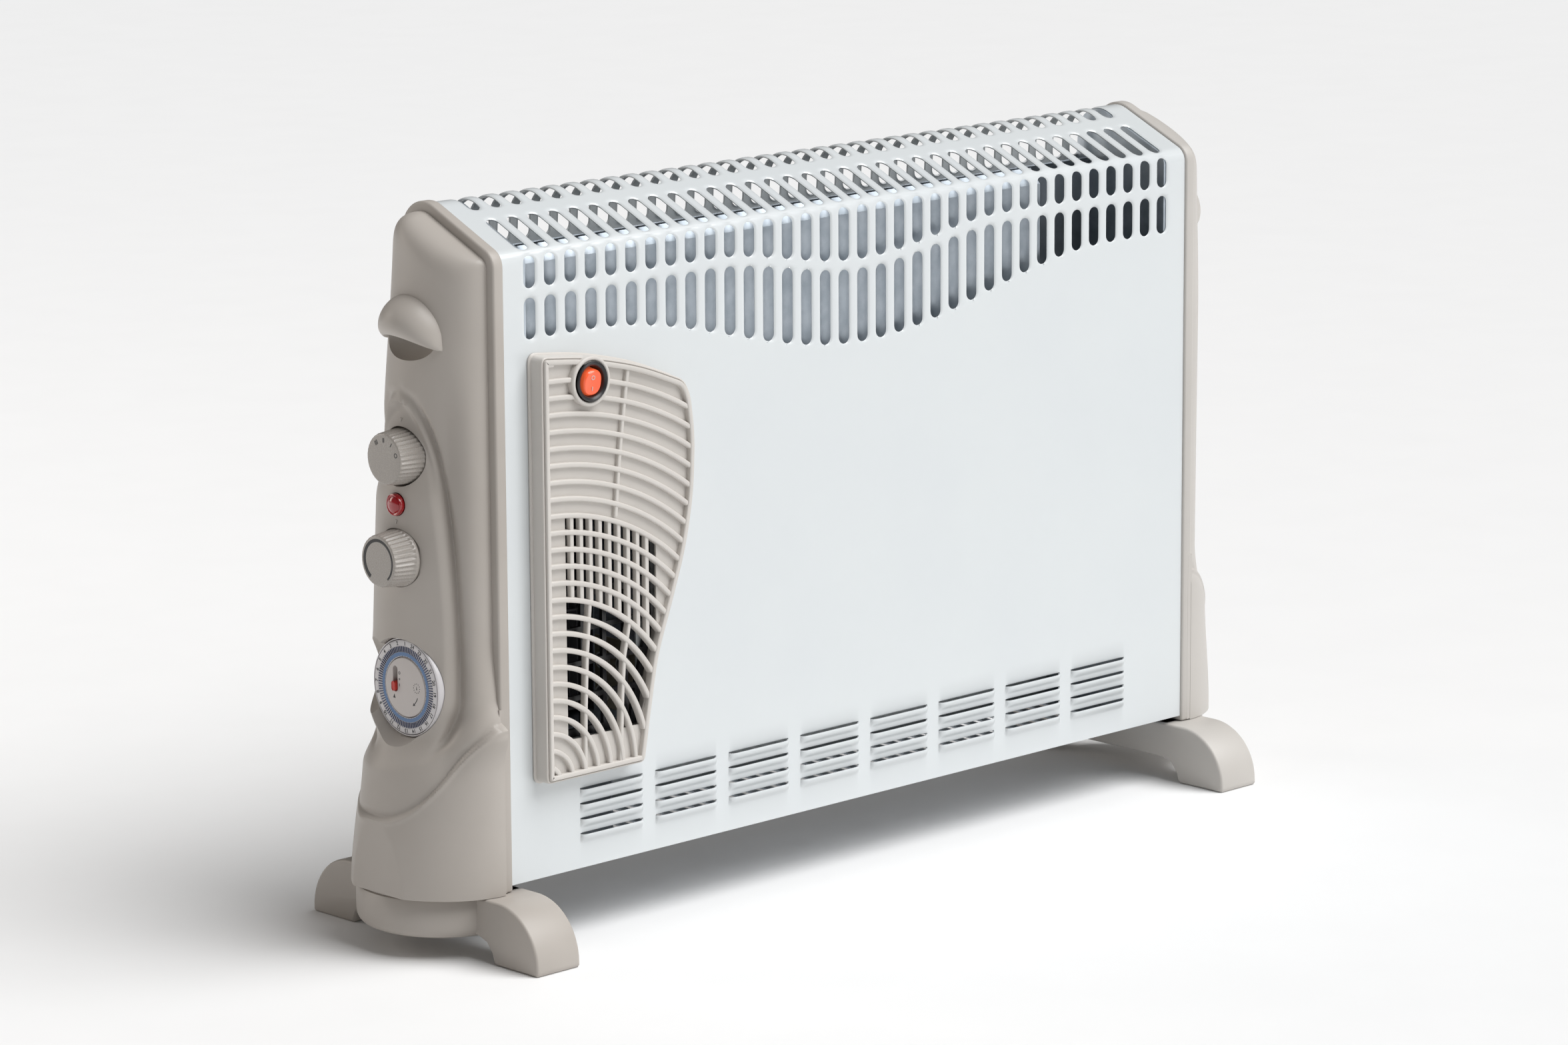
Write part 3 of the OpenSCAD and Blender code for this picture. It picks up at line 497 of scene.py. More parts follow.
def on_casing(s):
    """Place and outward direction, as (y, z), s up the sheet from the casing's lower front edge."""
    if s <= FLAT_Z:
        return (FRONT_Y, CASING_Z + s), (-1, 0)
    s -= FLAT_Z
    if s <= BEND_LEN:
        a = math.pi - s / FRONT_R
        n = (math.cos(a), math.sin(a))
        return (FRONT_BEND[0] + FRONT_R * n[0], FRONT_BEND[1] + FRONT_R * n[1]), n
    s -= BEND_LEN
    if s <= SLOPE_LEN:
        return ((SLOPE_START[0] + s * math.cos(TOP_SLOPE), SLOPE_START[1] + s * math.sin(TOP_SLOPE)),
                (-math.sin(TOP_SLOPE), math.cos(TOP_SLOPE)))
    s -= SLOPE_LEN
    a = math.pi / 2 + TOP_SLOPE - min(s, CREST_LEN) / REAR_R
    n = (math.cos(a), math.sin(a))
    beyond = max(s - CREST_LEN, 0)
    return (REAR_BEND[0] + REAR_R * n[0] + beyond * math.sin(BACK_LEAN),
            REAR_BEND[1] + REAR_R * n[1] - beyond * math.cos(BACK_LEAN)), n


def slot_x(i):
    return (i - (SLOT_N - 1) / 2) * SLOT_PITCH


def dip(i, reach, depth):
    """How far a row's edge dips at a slot: a cosine wave, lowest at the middle."""
    return depth * (1 + math.cos(math.pi * min(abs(i - (SLOT_N - 1) / 2) / reach, 1))) / 2


# Low ends of the two front rows at the sheet's sides, and the reach (in slots) and depth of their waves.
UPPER_ROW = (384.3, 8, 14)
LOWER_ROW = (355.2, 14, 34.7)
ROW_GAP = 5.4
UPPER_ROW_TOP = 402.9
SLOPE_ROW = (-2, 31)
CREST_ROW_Y = -9.6
CREST_ROW_END_Z = 397.7


def slot_runs(i):
    """The four slots above each other at place i, each from its low to its high end along the sheet."""
    upper = UPPER_ROW[0] - dip(i, *UPPER_ROW[1:])
    lower = LOWER_ROW[0] - dip(i, *LOWER_ROW[1:])
    top_edge = FLAT_Z + FRONT_R * math.asin((UPPER_ROW_TOP - FRONT_BEND[1]) / FRONT_R)
    slope = FLAT_Z + BEND_LEN
    crest = slope + (CREST_ROW_Y - SLOPE_START[0]) / math.cos(TOP_SLOPE)
    down_back = REAR_BEND[1] + REAR_R * math.sin(BACK_LEAN) - CREST_ROW_END_Z
    back = slope + SLOPE_LEN + CREST_LEN + down_back
    return [(lower - CASING_Z, upper - ROW_GAP - CASING_Z), (upper - CASING_Z, top_edge),
            (slope + SLOPE_ROW[0], slope + SLOPE_ROW[1]), (crest, back)]


# Rows between the round ends of each slot, the slotted patch's ends up the sheet, and its seams.
SLOT_STEPS = [4, 4, 4, 20]
PATCH_LOW = 62.0
PATCH_HIGH = FLAT_Z + BEND_LEN + SLOPE_LEN + CREST_LEN + 36
SEAM = 3
# Distances from a slot's ends at which the sheet begins to turn in.
LIP_MARKS = [2.6, 2.1, 1, 0.4]


def slot_rows(i):
    """(distance along the sheet, half width of the opening) for each row of the grid at slot i."""
    r = SLOT_W / 2
    rows = [(PATCH_LOW, 0), (WINDOW_LOW - CASING_Z, 0), (WINDOW_HIGH - CASING_Z, 0)]
    for (low, high), steps in zip(slot_runs(i), SLOT_STEPS):
        round_end = [(r * (1 - math.cos(a)), r * math.sin(a))
                     for a in [math.radians(15 * k) for k in range(7)]]
        rows += [(low - mark, 0) for mark in LIP_MARKS]
        rows += [(low + up, half) for up, half in round_end]
        rows += [(low + r + (high - low - 2 * r) * k / steps, r) for k in range(1, steps)]
        rows += [(high - up, half) for up, half in reversed(round_end)]
        rows += [(high + mark, 0) for mark in reversed(LIP_MARKS)]
    return rows + [(PATCH_HIGH, 0)]


# The window behind the fan outlet, and places across a bar between two slots.
WINDOW_X = (-249, -185)
WINDOW_LOW = 123
WINDOW_HIGH = 253
BAR_TS = [0, 0.07, 0.16, 0.3, 0.5, 0.7, 0.84, 0.93, 1]
LIP_REACH = 2.0
LIP_DEPTH = 0.75


def lip(x, s, slots):
    """How far the sheet turns in near a slot's edge."""
    r = SLOT_W / 2
    away = LIP_REACH
    for cx, low, high in slots:
        near = min(max(s, low + r), high - r)
        away = min(away, math.hypot(x - cx, s - near) - r)
    return LIP_DEPTH * (1 - max(away, 0) / LIP_REACH) ** 2


def slot_patch():
    """The slotted upper part of the sheet, bar by bar."""
    parts = []
    for bar in range(SLOT_N + 1):
        left_rows = slot_rows(max(bar - 1, 0))
        right_rows = slot_rows(min(bar, SLOT_N - 1))
        beside = [i for i in (bar - 1, bar) if 0 <= i < SLOT_N]
        slots = [(slot_x(i), low, high) for i in beside for low, high in slot_runs(i)]
        rows = []
        for (s0, h0), (s1, h1) in zip(left_rows, right_rows):
            x0 = slot_x(bar - 1) + h0 if bar else -HALF_W
            x1 = slot_x(bar) - h1 if bar < SLOT_N else HALF_W
            row = []
            for t in BAR_TS:
                x = x0 + (x1 - x0) * t
                s = s0 + (s1 - s0) * t
                (y, z), n = on_casing(s)
                d = lip(x, s, slots)
                row.append((x, y - n[0] * d, z - n[1] * d))
            rows.append(row)
        verts, faces = sheet(rows)
        if slot_x(bar - 1) >= WINDOW_X[0] and slot_x(bar) <= WINDOW_X[1]:
            cells = len(BAR_TS) - 1
            faces = faces[:cells] + faces[2 * cells:]
        parts.append((verts, faces))
    return parts


LOUVRE_ROWS = 4
LOUVRE_LOW_Z = 55.5
LOUVRE_RISE = 8.9
LOUVRE_END_R = 5.5
# A louvre's section: how high above its low edge, and how far out as a share of LOUVRE_OUT.
LOUVRE_SECTION = [(0, 0), (0.7, 0.08), (1.6, 0.35), (2.8, 0.72), (4, 0.95), (5, 1), (5.6, 0.93)]
LOUVRE_TOP = [(6.3, -0.12), (6.9, 0)]


def louvre_x(i):
    return (i - (LOUVRE_N - 1) / 2) * LOUVRE_PITCH


def louvre_patch():
    """The lower front of the sheet, with four rows of pressed louvres."""
    marks = [0, 0.5, 1.2, 2.2, 3.6, LOUVRE_END_R]
    xs = [-HALF_W]
    for i in range(LOUVRE_N):
        x0 = louvre_x(i) - LOUVRE_LEN / 2
        xs += [x0 - 1] + [x0 + m for m in marks] + [x0 + LOUVRE_LEN / 2]
        xs += [x0 + LOUVRE_LEN - m for m in reversed(marks)] + [x0 + LOUVRE_LEN + 1]
    xs.append(HALF_W)

    def out(x):
        """1 along a louvre, falling in a quarter round to 0 at its ends."""
        for i in range(LOUVRE_N):
            end = LOUVRE_LEN / 2 - abs(x - louvre_x(i))
            if end > 0:
                t = min(end / LOUVRE_END_R, 1)
                return math.sqrt(1 - (1 - t) ** 2)
        return 0

    rows = [(CASING_Z, 0)]
    slits = []
    for k in range(LOUVRE_ROWS):
        low = LOUVRE_LOW_Z + LOUVRE_RISE * k
        rows += [(low + up, out_share) for up, out_share in LOUVRE_SECTION]
        slits.append(len(rows) - 1)
        rows += [(low + up, out_share) for up, out_share in LOUVRE_TOP]
    rows.append((CASING_Z + PATCH_LOW - SEAM, 0))
    grid = [[(x, FRONT_Y - LOUVRE_OUT * up * out(x), z) for x in xs] for z, up in rows]
    verts, faces = sheet(grid)
    cells = len(xs) - 1
    kept = [f for n, f in enumerate(faces)
            if n // cells not in slits or (out(xs[n % cells]) == 0 and out(xs[n % cells + 1]) == 0)]
    return verts, kept


INLET_N = 13
INLET_ROWS = 5
INLET_X = (-240, -210)
INLET_PITCH = 40
INLET_Z = (60, 63.2)
INLET_RISE = 9


def back_patch():
    """The lower part of the back, with its rows of inlet slots."""
    xs = [-HALF_W] + [x + INLET_PITCH * k for k in range(INLET_N) for x in INLET_X] + [HALF_W]
    zs = [CASING_Z] + [z + INLET_RISE * k for k in range(INLET_ROWS) for z in INLET_Z]
    zs.append(on_casing(PATCH_HIGH + SEAM)[0][1])
    grid = [[(x, back_y(z), z) for x in xs] for z in zs]
    verts, faces = sheet(grid)
    cells = len(xs) - 1
    return verts, [f for n, f in enumerate(faces) if not ((n // cells) % 2 == 1 and (n % cells) % 2 == 1)]


def zip_rows(a, b):
    """Faces between two rows that run the same way but have different points."""
    verts = a + b
    faces = []
    i = j = 0
    while i < len(a) - 1 or j < len(b) - 1:
        if j == len(b) - 1 or (i < len(a) - 1 and a[i + 1][0] <= b[j + 1][0]):
            faces.append((i, i + 1, len(a) + j))
            i += 1
        else:
            faces.append((i, len(a) + j + 1, len(a) + j))
            j += 1
    return verts, faces


def casing():
    slots = slot_patch()
    louvres = louvre_patch()
    back = back_patch()
    cells = len(BAR_TS)
    low_row = sorted({p for verts, _ in slots for p in verts[:cells]})
    high_row = sorted({p for verts, _ in slots for p in verts[-cells:]})
    louvre_row = sorted(p for p in louvres[0] if p[2] == CASING_Z + PATCH_LOW - SEAM)
    back_top = max(p[2] for p in back[0])
    back_row = sorted(p for p in back[0] if p[2] == back_top)
    seams = [zip_rows(louvre_row, low_row), zip_rows(high_row, back_row)]
    obj = build("casing_sheet", slots + [louvres, back] + seams)
    thick = obj.modifiers.new("thickness", "SOLIDIFY")
    thick.thickness = SHEET_T * MM
    thick.offset = -1
    bake(obj)
    piece(obj, "casing_enamel", nodes=["casing_wrap"], corner=50)


# ---------- end caps ----------

RIM_T = 8
RIM_X = HALF_W + RIM_T
RIM_PROUD = 1.5
GROOVE = 4
CAP_FLOOR = 37.5
CROWN_R = 17
CROWN_POWER = 2 / 2.7
CROWN_START = 330
CONTROL_Y = -4
TIMER_Z = 155.1
SELECTOR_Z = 289.3
LENS_Z = 262.1
THERMOSTAT_Z = 231.3
# Each knob's height, and the X of its base and its face.
KNOBS = {"selector": (SELECTOR_Z, -311.0, -331.5), "thermostat": (THERMOSTAT_Z, -320.5, -337.2)}
DIAL_X = -318.5
DIAL_R = 27.5
HOOD_Y = -8
HOOD_HALF = 27
HOOD_NOSE = 0.4
HOOD_TIP_Z = 352.3
HOOD_OUT = 16.2
COLUMN_HALF = 35
COLUMN_TOP = 327
COLUMN_DROP = 47
CAP_LIMIT = 339.8
BEYOND_X = -360
CONTROL_BULGE = 28.5
PLAIN_BULGE = 31.3
SKIRT_LOW = 80.5
SKIRT_RISE = 42
SKIRT_MIDDLE = 6
SKIRT_STEP = 2.4
SKIRT_SPREAD = 3.3
COLUMN_RAISE = 3.2
COLUMN_GROOVE = 4.2
POCKET_DEPTH = 3.8


def bulge(z, controls):
    """How far a cap's body stands out beyond its flange; the plain end is a little fuller."""
    full = CONTROL_BULGE if controls else PLAIN_BULGE
    return full + 9 * smooth((150 - z) / 40) + 9 * smooth((118 - z) / 80) - 6 * smooth((z - 300) / 110)


def crown_z(y):
    """Height of the body's crown at a depth: the casing's section drawn in by the groove."""
    front_r = FRONT_R - GROOVE
    rear_r = REAR_R - GROOVE
    if y < FRONT_BEND[0] - front_r * math.sin(TOP_SLOPE):
        return FRONT_BEND[1] + math.sqrt(max(front_r ** 2 - (y - FRONT_BEND[0]) ** 2, 0))
    if y < REAR_BEND[0] - rear_r * math.sin(TOP_SLOPE):
        return (SLOPE_START[1] + (y - SLOPE_START[0]) * math.tan(TOP_SLOPE)) - GROOVE / math.cos(TOP_SLOPE)
    return REAR_BEND[1] + math.sqrt(max(rear_r ** 2 - (y - REAR_BEND[0]) ** 2, 0))


def skirt_z(y):
    """Height of the skirt's upper edge, a long U that is lowest near the middle."""
    return SKIRT_LOW + SKIRT_RISE * (abs(y - SKIRT_MIDDLE) / 50) ** 2.9


def column_edge(z):
    """Half width of the panel that carries the controls, at a height."""
    if z < TIMER_Z:
        return COLUMN_HALF * math.sqrt(max(1 - ((TIMER_Z - z) / COLUMN_DROP) ** 2, 0.0001))
    t = min((z - TIMER_Z) / (COLUMN_TOP - TIMER_Z), 1)
    return COLUMN_HALF * (1 - t ** 2.6) ** 0.5


def column_depth(y, z):
    """Distance inside the control panel's edge, roughly square to it; negative outside."""
    if z > COLUMN_TOP:
        return -math.hypot(y - CONTROL_Y, z - COLUMN_TOP)
    if z < TIMER_Z:
        return COLUMN_HALF * (1 - math.hypot((y - CONTROL_Y) / COLUMN_HALF, (z - TIMER_Z) / COLUMN_DROP))
    across = column_edge(z) - abs(y - CONTROL_Y)
    lean = (column_edge(z - 3) - column_edge(z + 3)) / 6
    return across / math.hypot(1, lean)


def skirt_relief(y, z):
    """The skirt's step, with a bead on its upper edge and a fine groove above it."""
    step = skirt_z(y) - z
    return SKIRT_STEP * smooth(step / 1.4 + 0.5) + bell((step - 1.6) / 1.7) - bell((step + 1.6) / 2.4)


def relief(y, z, controls):
    """How far the cap's face stands out from its plain body, in or out."""
    out = skirt_relief(y, z)
    if not controls:
        return out
    # The step fades towards the back, where the face is fuller; the front is hollowed.
    out *= 1 - 0.8 * smooth((y - 10) / 16)
    out += 2.8 * smooth((y + 20) / 50)
    hollow = smooth((8 - y) / 46) * smooth((y + 49) / 14)
    out -= 5.6 * hollow * smooth((z - 100) / 30) * smooth((350 - z) / 60)
    # The body flares out below the timer.
    flare = z - 14 * (max(2 - y, 0) / 40) ** 2
    out += 3 * smooth((186 - z) / 40) + 8.5 * smooth((129 - flare) / 23)
    out -= 9 * smooth((150 - z) / 40)
    if z > 100:
        # The raised column with the groove round it, and the pocket behind the selector.
        d = column_depth(y, z)
        out += COLUMN_RAISE * smooth((d + 1) / 8) * smooth((334 - z) / 40) * smooth((z - 116) / 24)
        fade = smooth((z - 114) / 16) * smooth((336 - z) / 34)
        out -= COLUMN_GROOVE * fade * bell((d + 1.5) / 2.4)
        pocket = column_depth(y, z + 7)
        out -= POCKET_DEPTH * smooth((pocket + 2) / 5) * smooth((z - 262) / 26)
    return out


def depth_span(z):
    """Middle and half depth of a cap's body at a height."""
    back = back_y(z, GROOVE)
    return (FRONT_Y + GROOVE + back) / 2, (back - FRONT_Y - GROOVE) / 2


def spaced(low, high, steps):
    """Evenly spaced values from low up to, but not including, high."""
    return [low + (high - low) * k / steps for k in range(steps)]


def cap_body(controls):
    """The pillow-shaped body: rows from the foot up to the crown, each from front to back."""
    columns = 128
    levels = spaced(CAP_FLOOR, 78, 22) + spaced(78, 135, 92) + spaced(135, CROWN_START, 110)
    levels.append(CROWN_START)
    straight = len(levels) + 29
    crown = 14
    rings = []
    for row in range(straight + crown + 1):
        ring = []
        for k in range(columns + 1):
            t = -math.pi / 2 + math.pi * k / columns
            top = FRONT_BEND[1]
            for _ in range(4):
                back = back_y(top, GROOVE) if top < REAR_BEND[1] else REAR_BEND[0] + REAR_R - GROOVE
                mid = (FRONT_Y + GROOVE + back) / 2
                top = crown_z(mid + (back - FRONT_Y - GROOVE) / 2 * math.sin(t))
            shoulder = top - CROWN_R
            if row < len(levels):
                z = levels[row]
                reach = 1
            elif row <= straight:
                z = CROWN_START + (shoulder - CROWN_START) * (row - len(levels) + 1) / 30
                reach = 1
            else:
                p = math.pi / 2 * (row - straight) / crown
                z = shoulder + CROWN_R * math.sin(p) ** CROWN_POWER
                reach = max(math.cos(p), 0) ** CROWN_POWER
            mid, half = depth_span(min(z, REAR_BEND[1]))
            a = bulge(z, controls)
            y = mid + half * math.sin(t)
            normal = Vector((math.cos(t) * half, math.sin(t) * a)).normalized()
            push = relief(y, z, controls) * reach
            spread = SKIRT_SPREAD * smooth((skirt_z(y) - z) / 18 + 0.4) * abs(math.sin(t)) ** 3
            x = min(RIM_X + a * max(math.cos(t), 0) * reach + normal.x * push, CAP_LIMIT)
            ring.append((x, y + normal.y * (push + spread), z))
        rings.append(ring)
    verts, faces = sheet(rings)
    n = columns + 1
    rows = len(rings)
    faces.append(tuple(range(n)))
    edge = [j * n for j in range(rows)] + [(rows - 1) * n + k for k in range(1, n)]
    edge += [j * n + columns for j in range(rows - 2, -1, -1)]
    faces.append(tuple(edge))
    return verts, faces


def hood(controls):
    """The carrying hood: a smooth brow whose lip rises from two tips to the nose."""
    rows = []
    across = 48
    up = 20
    for j in range(up + 1):
        v = j / up
        row = []
        for k in range(across + 1):
            u = -1 + 2 * k / across
            arch = math.sqrt(max(1 - u * u, 0))
            low = HOOD_TIP_Z + 7.6 * (1 - u * u)
            high = HOOD_TIP_Z + 30 * arch ** 0.9
            y = HOOD_Y + HOOD_HALF * u
            z = low + (high - low) * v ** 1.1
            if v < HOOD_NOSE:
                swell = 1 - 0.3 * (1 - v / HOOD_NOSE) ** 2.2
            else:
                swell = math.sqrt(max(1 - ((v - HOOD_NOSE) / (1 - HOOD_NOSE)) ** 2, 0)) ** 1.1
            x = body_x(y, z, controls) - 1.5 + HOOD_OUT * arch ** 0.85 * swell
            row.append((x, y, z))
        rows.append(row)
    under = []
    for step in (0.45, 1):
        row = []
        for k, (x, y, z) in enumerate(rows[0]):
            u = -1 + 2 * k / across
            row.append((x + (body_x(y, z, controls) - 6 - x) * step, y, z + 1.5 * step * (1 - u * u)))
        under.append(row)
    inner = [(body_x(y, z, controls) - 8, y, z) for x, y, z in rows[-1]]
    rows = [under[1], under[0]] + rows + [inner]
    return loft([[row[k] for row in rows] for k in range(across + 1)])


def body_x(y, z, controls):
    """X of the plain body's face on the +X side at a place on it."""
    mid, half = depth_span(z)
    return RIM_X + bulge(z, controls) * math.sqrt(max(1 - ((y - mid) / half) ** 2, 0.01))


def end_cap(name, side, node, controls):
    """One moulded end cap; side is -1 for the end with the controls."""
    body = build(name, [mirrored(cap_body(controls), side)])
    # The finger hollow under the hood.
    cuts = [ellipsoid((side * (RIM_X + 30), HOOD_Y, 357), (17, 25.5, 12.5))]
    if controls:
        # Two hollows beside the dial, its well, and the holes of lens, knobs and cord inlet.
        cuts += [ellipsoid((-337, CONTROL_Y + 3, TIMER_Z - 8), (30, 29, 27.5), 96),
                 ellipsoid((-334, CONTROL_Y + 30, TIMER_Z + 4), (28, 27, 25.5), 96),
                 turned_x([(BEYOND_X, DIAL_R + 1.8), (-305, DIAL_R + 1.8)], CONTROL_Y, TIMER_Z, 128),
                 turned_x([(BEYOND_X, 6.7), (-312, 6.7)], CONTROL_Y, LENS_Z, 64)]
        for z, base, _ in KNOBS.values():
            cuts.append(turned_x([(BEYOND_X, 17.6), (base + 1.2, 17.0)], CONTROL_Y, z, 96))
            cuts.append(turned_x([(BEYOND_X, 4), (-300, 4)], CONTROL_Y, z, 48))
        cuts.append(loft(circles([(30, 6.3), (60, 6.3)], -302, 62, 48, along_y)))
    carve(body, cuts)
    hooded = build(name + "_hood", [mirrored(hood(controls), side)])
    flange = casing_section(-RIM_PROUD, CAP_FLOOR)[::-1]
    rim = build(name + "_rim", [prism(flange, along_x, side * RIM_X, side * HALF_W)])
    bevel(rim, 1.6, 60)
    low = skirt_z(FRONT_Y) - 4
    floor = CAP_FLOOR + 0.5
    strip = [(-54.95, floor), (-50, floor), (-50, low), (-54.95, low)]
    filler = build(name + "_joint", [prism(strip, along_x, side * (RIM_X - 3), side * (RIM_X + 0.6))])
    join(body, [hooded, rim, filler])
    # The right cap takes the lighter copy of the plastic, which is painted light for the lit end. The left
    # cap's plastic is darker, which is painted shade.
    piece(body, "cap_plastic", nodes=[node], corner=40, look=None if controls else "cap_plastic_painted_light")


def join(main, others):
    """Adds other objects' meshes to one."""
    mesh = bmesh.new()
    mesh.from_mesh(main.data)
    for other in others:
        mesh.from_mesh(other.data)
        bpy.data.objects.remove(other)
    mesh.to_mesh(main.data)
    mesh.free()


# ---------- feet ----------

FOOT_TOP = 37.2
FOOT_IN_X = 273.3
FOOT_W = 33
FOOT_HALF_LEN = 99.4
LEG_R = 34
BAND_X = 288.5
BAND_R = 51.5
BAND_LOW = 13.2


def leg_outline():
    """Side view of a leg as (y, z), with its arch underneath."""
    heel = FOOT_HALF_LEN
    front = [(62, 0), (heel - 1.2, 0), (heel, 1.2)]
    front += arc((heel - LEG_R, FOOT_TOP - LEG_R), LEG_R, 0, 90, 16)
    under = [(48, 14.5), (55.5, 12), (60, 6.5)]
    rear = [(-y, z) for y, z in reversed(front)]
    return front + rear + [(-y, z) for y, z in reversed(under)] + under


def foot(name, side, node):
    leg = build(name, [prism(leg_outline(), along_x, side * FOOT_IN_X, side * (FOOT_IN_X + FOOT_W))])
    bevel(leg, 2.0, 50)
    outline = [(FOOT_IN_X + 0.8, BAND_R), (FOOT_IN_X + 0.8, -BAND_R)]
    outline += arc((BAND_X, 0), BAND_R, -90, 90, 64)
    levels = shifted([(0, 7), (0.3, 4.6), (1.2, 2.6), (2.8, 1.1), (4.8, 0.3), (7, 0)], BAND_LOW)
    levels += shifted([(-1.3, 0), (-1.0, 0.3), (-0.9, 1.4), (0, 1.4)], FOOT_TOP)
    rings = [[(side * x, y, z) for x, y in inset(outline, d)] for z, d in levels]
    band = build(name + "_band", [loft(rings)])
    join(leg, [band])
    # The right foot takes the lighter copy of the plastic, which is painted light for the lit end. The left
    # foot's plastic is darker, which is painted shade.
    piece(leg, "cap_plastic", nodes=[node], corner=50, look="cap_plastic_painted_light" if side > 0 else None)


# ---------- fan outlet ----------

COVER_Y = -66
COVER_CORNER = (-265.5, 99)
ARC_PITCH = 9.7
ARC_N = 27
WINDOW_ARC = 16
GRATE_ARC = 11
RIB_W = 3.0
ROCKER = (-230, 328.5)
ROCKER_TILT = math.radians(9)
COVER_POINTS = [(-265.9, 98.7), (-189.9, 98.7), (-183.4, 134.5), (-178.3, 160.9), (-168.2, 186.5),
                (-155.7, 220.8), (-149.2, 252.4), (-147.7, 286.4), (-151, 310), (-156, 319.7),
                (-190, 333.3), (-230, 342.9), (-265.9, 346.8)]
COVER_RADII = [4, 4, 14, 14, 14, 14, 14, 14, 12, 9, 18, 18, 5]


def inside(point, outline):
    """Whether a point lies inside a closed outline."""
    x, z = point
    hit = False
    for i, (x1, z1) in enumerate(outline):
        x0, z0 = outline[i - 1]
        if (z0 > z) != (z1 > z) and x < (x1 - x0) * (z - z0) / (z1 - z0) + x0:
            hit = not hit
    return hit


def rib(path, width, front, back, soft=0.9):
    """A bar along a path of (x, z), with rounded front edges."""
    half = width / 2
    section = [(-half, back)] + [(-half + soft * (1 - math.cos(a)), front + soft * (1 - math.sin(a)))
                                 for a in [math.pi / 2 * k / 4 for k in range(5)]]
    section += [(-w, y) for w, y in reversed(section)]
    rings = []
    for i, p in enumerate(path):
        ahead = Vector(path[min(i + 1, len(path) - 1)]) - Vector(path[max(i - 1, 0)])
        side = Vector((-ahead.y, ahead.x)).normalized()
        rings.append([(p[0] + side.x * w, y, p[1] + side.y * w) for w, y in section])
    return loft(rings)


def plate(name, outlines, front, back, soft=0.3):
    """A flat plate in the XZ plane with holes, its edges slightly rounded."""
    curve = bpy.data.curves.new(name, "CURVE")
    curve.dimensions = "2D"
    curve.fill_mode = "BOTH"
    curve.extrude = (back - front) / 2 - soft
    curve.bevel_depth = soft
    curve.bevel_resolution = 2
    curve.offset = -soft
    for outline in outlines:
        spline = curve.splines.new("POLY")
        spline.points.add(len(outline) - 1)
        for point, (a, b) in zip(spline.points, outline):
            point.co = (a, b, 0, 1)
        spline.use_cyclic_u = True
    data = curve_mesh(curve)
    middle = (front + back) / 2
    for v in data.vertices:
        a, b, c = v.co
        v.co = Vector((a, middle + c, b)) * MM
    fixed = bmesh.new()
    fixed.from_mesh(data)
    settle(fixed, data, 0.01)
    return linked(name, data)


def on_arc(radius, x):
    """Height of a point on an arc about the cover's corner."""
    return COVER_CORNER[1] + math.sqrt(radius ** 2 - (x - COVER_CORNER[0]) ** 2)


def window_outline():
    """The outlet opening, whose top follows one of the arcs."""
    top = WINDOW_ARC * ARC_PITCH
    xs = [-178.2 - 6 * k for k in range(12)] + [-248]
    low = [(-247.6, 121.5), (-192.2, 121.5), (-183.7, 149.1), (-178.5, 171.5)]
    return low + [(x, on_arc(top, x)) for x in xs]


def fan_cover():
    outline = rounded(COVER_POINTS, COVER_RADII)
    # The frame's section as (y, distance inside the outline), from the casing round to the front.
    profile = [(-53.6, 2.5), (-53.6, -1.0), (-54.6, -1.2), (-55.2, -0.6), (-55.4, 0), (-63.6, 0.15),
               (-64.3, 0.4), (-64.5, 0.8), (-64.5, 1.1), (-63.9, 1.3), (-63.9, 1.7), (-65.4, 1.8),
               (-65.9, 2.1), (-66, 2.5), (-66, 4.2), (-65.7, 4.6), (-65.2, 4.7), (-61.2, 4.7),
               (-61.2, 2.5)]
    shell = loft([[(x, y, z) for x, z in inset(outline, d)] for y, d in profile + profile[:1]],
                 capped=False)
    border = inset(outline, 4.5)
    ribs = []
    for k in range(1, ARC_N + 1):
        steps = 12 * k + 24
        over = 180 / steps
        path = arc(COVER_CORNER, k * ARC_PITCH, -over, 90 + over, steps + 4)
        free = [inside(p, border) and math.dist(p, ROCKER) > 13.0 for p in path]
        for open_here, spots in groupby(range(len(path)), free.__getitem__):
            spots = list(spots)
            run = path[max(spots[0] - 1, 0):spots[-1] + 2]
            if open_here and len(run) > 3:
                ribs.append(rib(run, RIB_W, COVER_Y + 0.35, COVER_Y + 4.6))
    grate = GRATE_ARC * ARC_PITCH
    slanted = [[(-199.9, 333.5), (-204.5, 304), (-207.6, 280.3), (-210.9, 247.5)],
               [(-231.4, on_arc(grate, -231.4)), (-234.2, 169.2), (-235.7, 136.5), (-236.3, 104)],
               [(-201.0, on_arc(grate, -201.0)), (-205.3, 164.4), (-207.1, 142.5), (-208.9, 103)]]
    ribs += [rib(path, 2.6, COVER_Y + 0.8, COVER_Y + 4.6) for path in slanted]
    for k in range(9):
        x = -244.6 + 7.2 * k
        bar = [(x, on_arc(grate, x)), (x, on_arc(WINDOW_ARC * ARC_PITCH, x))]
        ribs.append(rib(bar, 2.9, COVER_Y + 1.2, COVER_Y + 4.4, 0.6))
    boss = ring_y([(-61.5, 14.6), (-65.9, 14.6), (-66.7, 14.2), (-67, 13.5), (-67, 12.6), (-66.6, 12.1),
                   (-65.8, 11.9), (-61.5, 11.9)], *ROCKER)
    cover = build("outlet_cover", [shell, boss] + ribs)
    skin = plate("outlet_skin", [inset(outline, 4.3), window_outline(), circle(ROCKER, 12, 64)],
                 COVER_Y + 3.2, COVER_Y + 4.8)
    join(cover, [skin])
    piece(cover, "cover_plastic", nodes=["fan_cover"], corner=45)


def tilted(part):
    """Tips a part of the rocker about its pins, as it stands at rest."""
    verts, faces = part
    axis_y = COVER_Y + 4
    axis_z = ROCKER[1]
    c = math.cos(ROCKER_TILT)
    s = math.sin(ROCKER_TILT)
    return [(x, axis_y + (y - axis_y) * c - (z - axis_z) * s, axis_z + (y - axis_y) * s + (z - axis_z) * c)
            for x, y, z in verts], faces


